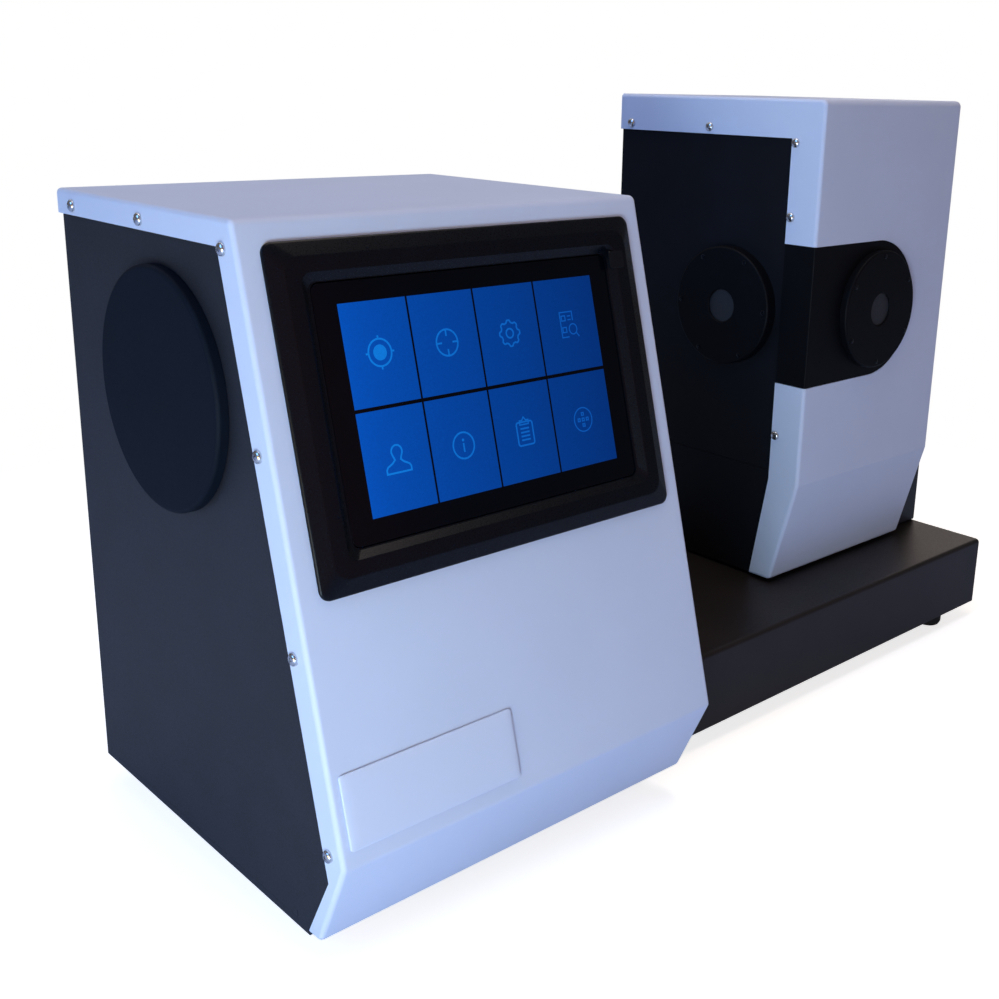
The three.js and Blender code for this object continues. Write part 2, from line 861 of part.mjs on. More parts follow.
function rearPanel(h, floor) {
  const back = -rearRecess;
  const sideGap = panelPlane + panelSheet + fit;
  const top = h.height - coverSheet - fit;
  const plate = solid(block(sideGap, h.width - sideGap, back - panelSheet, back, floor, top));
  const through = [back - 2 * panelSheet, back + panelSheet];
  const cuts = [];
  const rows = Math.floor(grilleRadius / grillePitch);
  for (let row = -rows; row <= rows; row += 1) {
    const height = row * grillePitch;
    const half = Math.sqrt(grilleRadius ** 2 - height ** 2);
    cuts.push(block(fanLeft - half, fanLeft + half, ...through,
      fanUp + height - grilleSlot / 2, fanUp + height + grilleSlot / 2));
  }
  cuts.push(block(inletLeft - inletBodyWidth / 2 - fit, inletLeft + inletBodyWidth / 2 + fit, ...through,
    inletUp - inletBodyHeight / 2 - fit, inletUp + inletBodyHeight / 2 + fit));
  cuts.push(block(usbLeft - usbWidth / 2 - fit, usbLeft + usbWidth / 2 + fit, ...through,
    usbUp - usbHeight / 2 - fit, usbUp + usbHeight / 2 + fit));
  return cut(plate, cuts);
}

// Display: bezel, touch glass and panel module, in flat coordinates on the slanting front
function makeDisplay() {
  const group = new THREE.Group();
  frontMatrix().decompose(group.position, group.quaternion, group.scale);
  group.position.z += consoleBottom;
  const bevel = (share, rise, corner) => ({
    width: bezelWidth - 2 * bezelBevel * share,
    height: bezelHeight - 2 * bezelBevel * share,
    corner,
    level: bezelSkirt + (bezelProud - bezelSkirt) * rise,
  });
  const wellWidth = glassWidth + 2 * fit;
  const wellHeight = glassHeight + 2 * fit;
  const wellTop = glassProud + fit;
  const sleeve = (level) => ({
    width: wellWidth + 2 * sleeveWall - 2 * fit,
    height: wellHeight + 2 * sleeveWall - 2 * fit,
    corner: glassCorner,
    level,
  });
  const bezel = piece('display_bezel', loftedFrame([
    { width: bezelWidth, height: bezelHeight, corner: bezelCorner, level: fit },
    bevel(0, 0, bezelCorner),
    ...bevelShares.map(([share, rise]) => bevel(share, rise, bezelCorner * (1 + share * bevelCornerShare))),
    { width: landWidth, height: landHeight, corner: landCorner, level: bezelProud },
    { width: landWidth - 2 * stepRun, height: landHeight - 2 * stepRun, corner: landCorner, level: wellTop },
    { width: wellWidth, height: wellHeight, corner: glassCorner, level: wellTop },
    { width: wellWidth, height: wellHeight, corner: glassCorner, level: -sleeveDepth },
    sleeve(-sleeveDepth),
    sleeve(fit),
  ]), blackPlastic());
  group.add(bezel);

  group.add(piece('display_glass',
    roundedPlate(glassWidth, glassHeight, glassCorner, glassProud - glassThickness, glassThickness),
    screenGlass()));
  group.add(piece('display_module', displayModule(), zincPlate()));

  const badge = piece('badge_plate',
    roundedPlate(badgeWidth, badgeHeight, badgeCorner, fit, badgeThickness, badgeEdge), badgePlastic());
  const slope = frontRise / Math.cos(frontLean);
  const down = slope - badgeLowMargin - badgeHeight / 2 - bezelTopMargin - bezelHeight / 2;
  badge.position.set(badgeLeftMargin + badgeWidth / 2 - consoleWidth / 2, -down, 0);
  group.add(badge);
  return group;
}
const bevelShares = [[0.22, 0.5], [0.55, 0.84], [1, 1]];
const bevelCornerShare = 0.33;

function displayModule() {
  const width = glassWidth / 2 - moduleMargin;
  const height = glassHeight / 2 - moduleMargin;
  const front = glassProud - glassThickness - fit;
  const back = front - moduleThickness;
  const half = moduleThickness / 2;
  return joined([
    block(-width, width, -height, height, front - half, front),
    block(-width * driverShare, width * driverShare, -height * driverShare, height * driverShare,
      back, front),
    block(width * plugStartShare, width, -height * plugHeightShare, height * plugHeightShare,
      back + half / 2, front),
  ]);
}
const driverShare = 0.78;
const plugStartShare = 0.7;
const plugHeightShare = 0.33;

// Lamp optics along the beam; the axis is the origin of this group, x measured from the console's left
function makeOptics() {
  const group = new THREE.Group();
  group.position.set(0, -axisDepth, axisHeight);
  const shelf = -benchDrop;
  const floor = fit - axisRise;
  const saddles = saddleShares.map((share) => barrelStart + share * (benchRight - barrelStart));
  const bench = joined([
    block(benchLeft, benchRight, -benchHalfWidth, benchHalfWidth, shelf - benchSheet, shelf),
    block(benchLeft, benchLeft + benchSheet, -benchHalfWidth, benchHalfWidth, floor, shelf),
    block(benchRight - benchSheet, benchRight, -benchHalfWidth, benchHalfWidth, floor, shelf),
    ...saddles.map((x) => block(x, x + saddleThickness, -saddleHalfWidth, saddleHalfWidth,
      shelf - benchSheet / 2, saddleTop)),
  ]);
  const lightening = benchHalfWidth * lighteningShare;
  const legDrop = shelf - 2 * benchSheet;
  group.add(piece('optical_bench', cut(bench, [
    ...saddles.map((x) => rodX(barrelRadius + fit, x - overrun, x + saddleThickness + overrun, 0, 0,
      barrelSides)),
    block(benchLeft - overrun, benchRight + overrun, -lightening, lightening,
      legDrop - axisRise / 2, legDrop),
  ]), aluminium()));

  group.add(piece('lamp_heat_sink', heatSink(shelf + fit), blackAnodised()));

  const lampFace = heatSinkBack + finLength + heatSinkPlate + fit;
  group.add(piece('lamp_led', turnedX([
    [0, lampFace],
    [lampBoardRadius, lampFace],
    [lampBoardRadius, lampFace + lampBoardThickness],
    [lampDomeRadius, lampFace + lampBoardThickness],
    [lampDomeRadius * domeShare, lampFace + lampBoardThickness + lampDomeRadius * domeShare],
    [0, lampFace + lampBoardThickness + lampDomeRadius],
  ], portSides), diffuseWhite()));

  const blockEnd = condenserPlace + condenserBlock;
  const holder = solid(block(condenserPlace, blockEnd, -condenserHalfWidth, condenserHalfWidth,
    shelf + fit, condenserTop));
  group.add(piece('condenser_holder', cut(holder, [
    rodX(condenserRadius + fit, condenserPlace + barrelShoulder, blockEnd + overrun, 0, 0, barrelSides),
    rodX(condenserRadius - barrelShoulder, condenserPlace - overrun, blockEnd, 0, 0, barrelSides),
  ]), blackAnodised()));
  group.add(piece('condenser_lens',
    lens(condenserPlace + barrelShoulder + fit, condenserRadius, condenserEdge, condenserCrown),
    opticalGlass()));

  const stopEnd = stopPlace + stopThickness;
  const stop = joined([
    block(stopPlace, stopEnd, -stopHalfWidth, stopHalfWidth, shelf + fit, stopTop),
    block(stopPlace - stopFoot, stopEnd, -stopHalfWidth, stopHalfWidth, shelf + fit,
      shelf + fit + stopThickness),
  ]);
  group.add(piece('field_stop', cut(stop, [
    rodX(stopRadius, stopPlace - overrun, stopEnd + overrun, 0, 0, holeSides),
  ]), blackAnodised()));

  const collarFace = consoleWidth - panelPlane + fit;
  const barrelEnd = collarFace + collarThickness - collarLip - fit;
  const seat = barrelEnd - collimatorSetback;
  group.add(piece('collimator_barrel', turnedX([
    [barrelRadius, barrelStart],
    [barrelRadius, barrelEnd],
    [barrelRadius - barrelWall, barrelEnd],
    [barrelRadius - barrelWall, seat],
    [barrelRadius - barrelWall - barrelShoulder, seat],
    [barrelRadius - barrelWall - barrelShoulder, barrelStart],
    [barrelRadius, barrelStart],
  ], barrelSides), blackAnodised()));
  group.add(piece('collimator_lens',
    lens(seat + fit, barrelRadius - barrelWall - fit, collimatorEdge, collimatorCrown), opticalGlass()));

  const collarEnd = collarFace + collarThickness;
  group.add(piece('exit_collar', turnedX([
    [barrelRadius + fit, collarFace],
    [collarRadius, collarFace],
    [collarRadius, collarEnd - portDiscEdge],
    [collarRadius - portDiscEdge, collarEnd],
    [exitRadius, collarEnd],
    [exitRadius, collarEnd - collarLip],
    [barrelRadius + fit, collarEnd - collarLip],
    [barrelRadius + fit, collarFace],
  ], discSides), blackPlastic()));
  return group;
}
const lighteningShare = 0.6;
const domeShare = 0.7;

function heatSink(bottom) {
  const shape = new THREE.Shape();
  const back = heatSinkBack + finLength;
  shape.moveTo(back + heatSinkPlate, -heatSinkHalfWidth);
  shape.lineTo(back + heatSinkPlate, heatSinkHalfWidth);
  const pitch = (2 * heatSinkHalfWidth - finThickness) / (finCount - 1);
  for (let fin = finCount - 1; fin >= 0; fin -= 1) {
    const low = -heatSinkHalfWidth + fin * pitch;
    if (fin < finCount - 1) {
      shape.lineTo(back, low + finThickness);
    }
    shape.lineTo(heatSinkBack, low + finThickness);
    shape.lineTo(heatSinkBack, low);
    if (fin > 0) {
      shape.lineTo(back, low);
    }
  }
  shape.closePath();
  const geometry = new THREE.ExtrudeGeometry(shape, { depth: heatSinkTop - bottom, bevelEnabled: false });
  return geometry.translate(0, 0, bottom);
}

// A lens with one flat face at the start and a domed face
function lens(start, radius, edge, crown) {
  const profile = [[0, start], [radius, start], [radius, start + edge]];
  for (const share of lensShares) {
    profile.push([radius * share, start + edge + crown * (1 - share ** 2)]);
  }
  profile.push([0, start + edge + crown]);
  return turnedX(profile, portSides);
}
const lensShares = [0.75, 0.45];

// Electronics on the base's top and the rear panel
function makeElectronics() {
  const group = new THREE.Group();
  const floor = baseTop + fit;
  group.add(piece('main_board', mainBoard(floor), boardGreen()));
  group.add(piece('power_supply', powerSupply(floor), zincPlate()));
  const fanZ = consoleBottom + fanUp;
  const fanFront = -rearRecess - panelSheet - fit;
  const frame = new THREE.Group();
  frame.position.set(fanLeft, fanFront, fanZ);
  frame.add(piece('fan_frame', fanFrame(), blackPlastic()));
  frame.add(piece('fan_rotor', fanRotor(), blackPlastic()));
  group.add(frame);

  const inlet = new THREE.Group();
  inlet.position.set(inletLeft, -rearRecess + fit, consoleBottom + inletUp);
  inlet.add(piece('power_inlet', powerInlet(), blackPlastic()));
  inlet.add(makeRocker());
  group.add(inlet);

  const usb = piece('usb_socket', usbSocket(), zincPlate());
  usb.position.set(usbLeft, -rearRecess, consoleBottom + usbUp);
  group.add(usb);
  group.add(piece('sensor_loom', loom(floor), rubber()));
  return group;
}

function mainBoard(floor) {
  const front = -(boardBack + boardLength);
  const top = floor + boardStandoff + boardThickness;
  const right = boardLeft + boardWidth;
  const parts = [block(boardLeft, right, front, -boardBack, floor + boardStandoff, top)];
  for (const x of [boardLeft + boardStandoff, right - boardStandoff]) {
    for (const y of [front + boardStandoff, -boardBack - boardStandoff]) {
      parts.push(rodZ(boardStandoff / 2, floor, floor + boardStandoff + boardThickness / 2,
        x, y, smallSides));
    }
  }
  for (const [x, y, w, l, tall] of boardPartShares) {
    const left = boardLeft + x * boardWidth;
    const near = front + y * boardLength;
    parts.push(block(left, left + w * boardWidth, near, near + l * boardLength,
      top - boardThickness / 2, top + tall * boardStandoff));
  }
  return joined(parts);
}
// Chips and plugs on the board, as shares: left, front, width, length, and height against the standoffs
const boardPartShares = [
  [0.36, 0.42, 0.3, 0.16, 0.4],
  [0.12, 0.44, 0.16, 0.12, 0.35],
  [0.1, 0.08, 0.2, 0.08, 1.6],
  [0.42, 0.06, 0.46, 0.06, 1.5],
  [0.74, 0.4, 0.14, 0.3, 1.8],
  [0.12, 0.72, 0.24, 0.14, 1.2],
  [0.5, 0.76, 0.12, 0.08, 2.2],
];

function powerSupply(floor) {
  const right = supplyLeft + supplyWidth;
  const back = supplyLength - supplyFront;
  const boardLevel = floor + chassisSheet + boardStandoff;
  const parts = [
    block(supplyLeft, right, -supplyFront, back, floor, floor + chassisSheet),
    block(supplyLeft, supplyLeft + chassisSheet, -supplyFront, back, floor, floor + supplyHeight),
    block(right - chassisSheet, right, -supplyFront, back, floor, floor + supplyHeight),
    block(supplyLeft, right, back - chassisSheet, back, floor, floor + supplyHeight),
    block(supplyLeft + chassisSheet / 2, right - chassisSheet / 2, -supplyFront, back - chassisSheet / 2,
      boardLevel, boardLevel + boardThickness),
  ];
  for (const [x, y, w, l, tall] of supplyPartShares) {
    const left = supplyLeft + x * supplyWidth;
    const near = y * supplyLength - supplyFront;
    parts.push(block(left, left + w * supplyWidth, near, near + l * supplyLength,
      boardLevel + boardThickness / 2, boardLevel + tall * supplyHeight));
  }
  const canRadius = supplyWidth * canShare;
  for (const share of canPlaceShares) {
    parts.push(rodZ(canRadius, boardLevel + boardThickness / 2, boardLevel + supplyHeight / 2,
      supplyLeft + share * supplyWidth, back - supplyLength / 4, holeSides));
  }
  return joined(parts);
}
// Transformer, coils and terminal strip on the supply's board, as shares like those of the main board
const supplyPartShares = [
  [0.3, 0.4, 0.36, 0.28, 0.68],
  [0.1, 0.42, 0.12, 0.2, 0.5],
  [0.74, 0.36, 0.14, 0.34, 0.55],
  [0.12, 0.03, 0.76, 0.09, 0.36],
];
const canShare = 0.08;
const canPlaceShares = [0.3, 0.52];

function fanFrame() {
  const reach = (fanSize / 2 + fanBore) / 2;
  const plate = roundedPlate(fanSize, fanSize, fanCorner, 0, fanDepth).rotateX(Math.PI / 2);
  const body = cut(solid(plate), [rodY(fanBore, -fanDepth - overrun, overrun, 0, 0, portSides)]);
  const far = -fanDepth;
  const near = far + fanSpoke;
  const hub = solid(rodY(fanHub, far, near, 0, 0, barrelSides));
  const spokes = [
    block(-reach, reach, far, near, -fanSpoke / 2, fanSpoke / 2),
    block(-fanSpoke / 2, fanSpoke / 2, far, near, -reach, reach),
  ].map(solid);
  const whole = spokes.reduce((sum, spoke) => sum.add(spoke), body.add(hub));
  const axle = rodY(fanShaft + fit, far - overrun, near + overrun, 0, 0, holeSides);
  return cut(whole, [axle]);
}

// The rotor turns about Y: a hub, its shaft and pitched blades
function fanRotor() {
  const hubFar = -fanDepth + fanSpoke + fit;
  const hubNear = -fit;
  const bladeReach = fanBore - 2 * fit - fanBladeThickness;
  const depth = (hubNear - hubFar) * bladeDepthShare;
  const parts = [
    rodY(fanHub, hubFar, hubNear, 0, 0, barrelSides),
    rodY(fanShaft, -fanDepth, hubNear, 0, 0, holeSides),
  ];
  for (let i = 0; i < fanBladeCount; i += 1) {
    const length = bladeReach - fanHub / 2;
    const blade = new THREE.BoxGeometry(length, fanBladeThickness, depth, bladeSteps, 1, 1);
    blade.translate(fanHub / 2 + length / 2, 0, 0);
    const positions = blade.attributes.position;
    for (let k = 0; k < positions.count; k += 1) {
      const point = new THREE.Vector3().fromBufferAttribute(positions, k);
      const twist = (1 - point.x / bladeReach) * bladeTwistAngle + bladePitchAngle;
      const turnedY = point.y * Math.cos(twist) - point.z * Math.sin(twist);
      const turnedZ = point.y * Math.sin(twist) + point.z * Math.cos(twist);
      positions.setXYZ(k, point.x, turnedZ, turnedY);
    }
    blade.index.array.forEach((_, k, index) => {
      if (k % 3 === 0) {
        [index[k + 1], index[k + 2]] = [index[k + 2], index[k + 1]];
      }
    });
    blade.rotateY((i / fanBladeCount) * 2 * Math.PI);
    blade.translate(0, (hubFar + hubNear) / 2, 0);
    parts.push(blade);
  }
  return joined(parts);
}
const bladeDepthShare = 0.95;
const bladePitchAngle = 0.85;
const bladeTwistAngle = 0.3;
const bladeSteps = 3;

// Appliance inlet above, rocker well below, one moulding snapped into the rear panel
function powerInlet() {
  const flange = roundedPlate(inletFlangeWidth, inletFlangeHeight, inletCorner, 0, inletFlange);
  flange.rotateX(-Math.PI / 2);
  const bodyFront = inletFlange / 2;
  const body = block(-inletBodyWidth / 2, inletBodyWidth / 2, -inletBodyDepth, bodyFront,
    -inletBodyHeight / 2, inletBodyHeight / 2);
  const [w, h] = [socketWidth / 2, socketHeight / 2];
  const socket = new THREE.Shape();
  socket.moveTo(-w, -h);
  socket.lineTo(w, -h);
  socket.lineTo(w, h - socketChamfer);
  socket.lineTo(w - socketChamfer, h);
  socket.lineTo(-w + socketChamfer, h);
  socket.lineTo(-w, h - socketChamfer);
  socket.closePath();
  const mouth = new THREE.ExtrudeGeometry(socket, { depth: socketDepth + overrun, bevelEnabled: false });
  mouth.rotateX(Math.PI / 2).translate(0, inletFlange + overrun, socketRise);
  const well = block(-rockerWidth / 2 - fit, rockerWidth / 2 + fit, inletFlange - rockerWellDepth,
    inletFlange + overrun, -rockerDrop - rockerHeight / 2 - fit, -rockerDrop + rockerHeight / 2 + fit);
  const moulding = cut(joined([flange, body]), [mouth, well, pivotRod(fit)]);
  const pinBack = inletFlange - socketDepth - fit;
  const pins = [[-pinSpread, 0], [pinSpread, 0], [0, pinThickness + fit]].map(([x, up]) => solid(block(
    x - pinThickness / 2, x + pinThickness / 2, pinBack, pinBack + pinLength,
    socketRise + up - pinWidth / 2, socketRise + up + pinWidth / 2)));
  return pins.reduce((sum, pin) => sum.add(pin), moulding);
}

function pivotRod(clearance) {
  const half = rockerWidth / 2 + 2 * rockerPinRadius + clearance;
  return rodX(rockerPinRadius + clearance, -half, half, inletFlange - rockerPivotDepth, -rockerDrop,
    smallSides);
}

// Rocker: two faces that meet in a shallow valley over the pivot; drawn tipped to its off side
function makeRocker() {
  const group = new THREE.Group();
  const half = rockerHeight / 2 - fit;
  const rise = rockerPivotDepth + rockerProud;
  const tilt = THREE.MathUtils.degToRad(rockerTilt);
  const valley = rise - half * Math.tan(tilt);
  const shape = new THREE.Shape();
  shape.moveTo(-half * rockerNeckShare, -rise * rockerNeckShare);
  shape.lineTo(-half, 0);
  shape.lineTo(-half * rockerCrownShare, rise);
  shape.lineTo(0, valley);
  shape.lineTo(half * rockerCrownShare, rise);
  shape.lineTo(half, 0);
  shape.lineTo(half * rockerNeckShare, -rise * rockerNeckShare);
  shape.closePath();
  const body = new THREE.ExtrudeGeometry(shape, { depth: rockerWidth - 2 * fit, bevelEnabled: false });
  body.translate(0, 0, fit - rockerWidth / 2);
  body.applyMatrix4(new THREE.Matrix4().makeBasis(
    new THREE.Vector3(0, 0, 1), new THREE.Vector3(0, 1, 0), new THREE.Vector3(-1, 0, 0)));
  const pin = pivotRod(0).translate(0, rockerPivotDepth - inletFlange, rockerDrop);
  const rocker = piece('power_rocker', joined([body, pin]), blackPlastic());
  rocker.rotation.x = -tilt;
  group.position.set(0, inletFlange - rockerPivotDepth, -rockerDrop);
  group.add(rocker);
  return group;
}
const rockerNeckShare = 0.6;
const rockerCrownShare = 0.82;

function usbSocket() {
  const [w, h] = [usbWidth / 2, usbHeight / 2];
  const shell = solid(block(-w, w, -usbDepth, usbWall, -h, h));
  return cut(shell, [block(usbWall - w, w - usbWall, usbWall - usbDepth, 2 * usbWall,
    usbWall - h, h - usbWall)]);
}

// A round lead from the board, down into the base, along it and up to the detector
function loom(floor) {
  const consoleX = boardLeft + boardWidth - loomHole;
  const towerX = towerLeft + loomTowerLeft;
  const under = baseTop - baseHeight / 2;
  const y = -loomDepth;
  const boardY = -boardBack - 2 * boardStandoff;
  const detectorX = towerLeft + sphereAcross;
  const detectorY = -axisDepth + portReach + detectorDepth + detectorCapDepth / 2;
  const boardZ = floor + 4 * boardStandoff;
  const curve = new THREE.CatmullRomCurve3([
    new THREE.Vector3(consoleX, boardY, boardZ),
    new THREE.Vector3(consoleX, y, boardZ),
    new THREE.Vector3(consoleX, y, baseTop),
    new THREE.Vector3(consoleX + baseHeight / 2, y, under),
    new THREE.Vector3((consoleX + towerX) / 2, y, under),
    new THREE.Vector3(towerX - baseHeight / 2, y, under),
    new THREE.Vector3(towerX, y, baseTop),
    new THREE.Vector3(towerX, y, baseTop + axisRise / 2),
    new THREE.Vector3(detectorX - detectorCapRadius - loomRadius - fit, detectorY, axisHeight),
  ], false, 'centripetal');
  const section = new THREE.Shape();
  section.absarc(0, 0, loomRadius, 0, 2 * Math.PI);
  return new THREE.ExtrudeGeometry(section, {
    steps: loomSteps, extrudePath: curve, curveSegments: loomSides / 2, bevelEnabled: false,
  });
}
const loomSteps = 30;
const loomSides = 6;

// Tower housing
function makeTower() {
  const group = new THREE.Group();
  group.position.set(towerLeft, 0, baseTop + towerRise);
  const h = housings.tower;
  const axisY = -axisDepth;
  const axisZ = axisRise - towerRise;
  const floor = fit - towerRise;
  const screws = towerScrewPlaces();
  const cover = cut(foldedCover(h), [
    bandPrism(bandHalfHeight, axisZ),
    ...screwHoles(screws, -overrun, coverSheet + fit),
  ]);
  group.add(piece('tower_cover', cover, whitePaint()));
  group.add(piece('port_band', portBand(axisZ), blackPaint()));

  const seam = towerSeamHeight - towerRise;
  const x1 = panelPlane + panelSheet;
  const port = rodX(portRadius, 0, 2 * x1, axisY, axisZ, portSides);
  const holes = screwHoles(screws, 0, 2 * x1);
  const upper = sidePanel(h, panelPlane, x1, seam + fit / 2, h.height);
  const lower = sidePanel(h, panelPlane, x1, floor, seam - fit / 2);
  group.add(piece('tower_left_panel_upper', cut(upper, [port, ...holes]), blackPaint()));
  group.add(piece('tower_left_panel_lower', cut(lower, holes), blackPaint()));

  const rightEnd = h.width - panelPlane;
  const right = sidePanel(h, rightEnd - panelSheet, rightEnd, floor, h.height);
  group.add(piece('tower_right_panel', cut(right, [
    rodX(trapMouth - fit, rightEnd - 2 * panelSheet, h.width, axisY, axisZ, portSides),
    rodX(flapHubRadius - fit, rightEnd - 2 * panelSheet, h.width, axisY, axisZ + flapArm, holeSides),
  ]), blackPaint()));

  const sideGap = panelPlane + panelSheet + fit;
  const rear = solid(block(sideGap, h.width - sideGap, -rearRecess - panelSheet, -rearRecess, floor,
    h.height - coverSheet - fit));
  const vents = [];
  for (let i = 0; i < ventCount; i += 1) {
    const level = seam + i * grillePitch;
    vents.push(block(h.width / 2 - ventHalfWidth, h.width / 2 + ventHalfWidth, -rearRecess - 2 * panelSheet,
      0, level, level + grilleSlot));
  }
  group.add(piece('tower_rear_panel', cut(rear, vents), blackPaint()));
  addScrews(group, screws, 'tower');

  const haze = portDisc('haze_port_disc', hazeDiscProud + panelPlane - fit);
  haze.position.set(panelPlane - fit, axisY, axisZ);
  const comp = portDisc('comp_port_disc', compDiscProud - fit);
  comp.rotation.z = Math.PI / 2;
  comp.position.set(sphereAcross, -towerDepth - fit, axisZ);
  group.add(haze, comp);

  const mechanism = new THREE.Group();
  mechanism.position.set(0, axisY, axisZ);
  mechanism.add(...trapPieces());
  group.add(mechanism);
  return group;
}

// Prism through the tower's front in the band's outline, with a round end over the port
function bandPrism(half, axisZ) {
  const shape = new THREE.Shape();
  shape.moveTo(-overrun, -half);
  shape.lineTo(sphereAcross, -half);
  shape.absarc(sphereAcross, 0, half, -Math.PI / 2, Math.PI / 2);
  shape.lineTo(-overrun, half);
  shape.closePath();
  const geometry = new THREE.ExtrudeGeometry(shape, {
    depth: towerLipFront + 2 * overrun, bevelEnabled: false, curveSegments: discSides / 2,
  });
  return geometry.rotateX(Math.PI / 2).translate(0, overrun + towerLipFront - towerDepth, axisZ);
}

// Band: a plate folded round the tower's corner that fills the slot in the cover
function portBand(axisZ) {
  const half = bandHalfHeight - fit;
  const [front, side] = [-towerDepth, towerLipFront - fit - towerDepth];
  const end = sphereAcross + 2 * half;
  const fold = roundedShape([
    new THREE.Vector2(0, side),
    new THREE.Vector2(0, front),
    new THREE.Vector2(end, front),
    new THREE.Vector2(end, front + coverSheet),
    new THREE.Vector2(coverSheet, front + coverSheet),
    new THREE.Vector2(coverSheet, side),
  ], [0, sideBend, 0, 0, sideBend - coverSheet, 0]);
  const sheet = new THREE.ExtrudeGeometry(fold, {
    depth: 4 * half, bevelEnabled: false, curveSegments: 2 * bendSteps,
  });
  sheet.translate(0, 0, axisZ - 2 * half);
  return cut(solid(sheet).intersect(solid(bandPrism(half, axisZ))), [
    rodY(portRadius, front - overrun, front + 2 * coverSheet, sphereAcross, axisZ, portSides),
  ]);
}

// Port disc on X: its back at x = 0 and its face at -thickness, with a flared aperture
function portDisc(name, thickness) {
  return piece(name, turnedX([
    [apertureRadius + apertureFlare, -thickness],
    [portDiscRadius - portDiscEdge, -thickness],
    [portDiscRadius, portDiscEdge - thickness],
    [portDiscRadius, 0],
    [portRadius, 0],
    [portRadius, apertureFlare - thickness / 2],
    [apertureRadius, apertureFlare - thickness / 2],
    [apertureRadius, apertureFlare - thickness],
    [apertureRadius + apertureFlare, -thickness],
  ], discSides), blackPlastic());
}

// Sphere half: pole along +X, a port neck on each side of it
function sphereHalf(name, boreRadii) {
  const outerRadius = sphereRadius + sphereWall;
  const ball = new THREE.SphereGeometry(outerRadius, sphereSides, sphereRings).rotateX(Math.PI / 2);
  const hollow = new THREE.SphereGeometry(sphereRadius, sphereSides, sphereRings).rotateX(Math.PI / 2);
  const turns = [-Math.PI / 4, Math.PI / 4];
  const necks = turns.map((turn) => rodX(neckRadius, sphereRadius * neckStartShare, portReach,
    0, 0, portSides)
    .rotateZ(turn));
  const bores = turns.map((turn, i) => rodX(boreRadii[i], 0, portReach + overrun, 0, 0, portSides)
    .rotateX(Math.PI / portSides)
    .rotateZ(turn));
  const rim = rodX(sphereRimRadius, fit / 2, sphereRimThickness, 0, 0, barrelSides);
  const whole = joined([ball, rim, ...necks]);
  const half = block(fit / 2, 2 * portReach, -2 * portReach, 2 * portReach, -2 * portReach, 2 * portReach);
  return piece(name, cut(whole.intersect(solid(half)), [hollow, ...bores]), aluminium());
}
const neckStartShare = 0.85;

// Sphere, its stand and the detector, centred on the sphere
function makeSphere() {
  const group = new THREE.Group();
  group.position.set(towerLeft + sphereAcross, -axisDepth, axisHeight);
  const front = sphereHalf('sphere_front_half', [portRadius, portRadius]);
  front.rotation.z = -0.75 * Math.PI;
  const rear = sphereHalf('sphere_rear_half', [portRadius, detectorPortRadius]);
  rear.rotation.z = 0.25 * Math.PI;
  group.add(front, rear);

  const seat = sphereRadius + sphereWall + fit;
  const ground = fit - axisRise;
  const seatLevel = (radius) => -Math.sqrt(seat ** 2 - radius ** 2);
  const cupBottom = -seat - 2 * standFootThickness;
  const column = turnedZ([
    [0, ground],
    [standFoot, ground],
    [standFoot, ground + standFootThickness],
    [standColumn, ground + 2 * standFootThickness],
    [standColumn, cupBottom - standColumn],
    [standCup, cupBottom],
    ...cupShares.map((share) => [standCup * share, seatLevel(standCup * share)]),
  ], portSides);
  const rimSlot = rodX(sphereRimRadius + fit, -sphereRimThickness - fit, sphereRimThickness + fit, 0, 0,
    barrelSides).rotateZ(Math.PI / 4);
  group.add(piece('sphere_stand', cut(solid(column), [rimSlot]), blackAnodised()));

  const detector = turned([
    [0, portReach + fit],
    [detectorRadius, portReach + fit],
    [detectorRadius, portReach + detectorDepth],
    [detectorCapRadius, portReach + detectorDepth],
    [detectorCapRadius, portReach + detectorDepth + detectorCapDepth],
    [0, portReach + detectorDepth + detectorCapDepth],
  ], portSides);
  group.add(piece('detector_housing', detector, blackAnodised()));
  return group;
}

const cupShares = [1, 0.7, 0.35, 0];

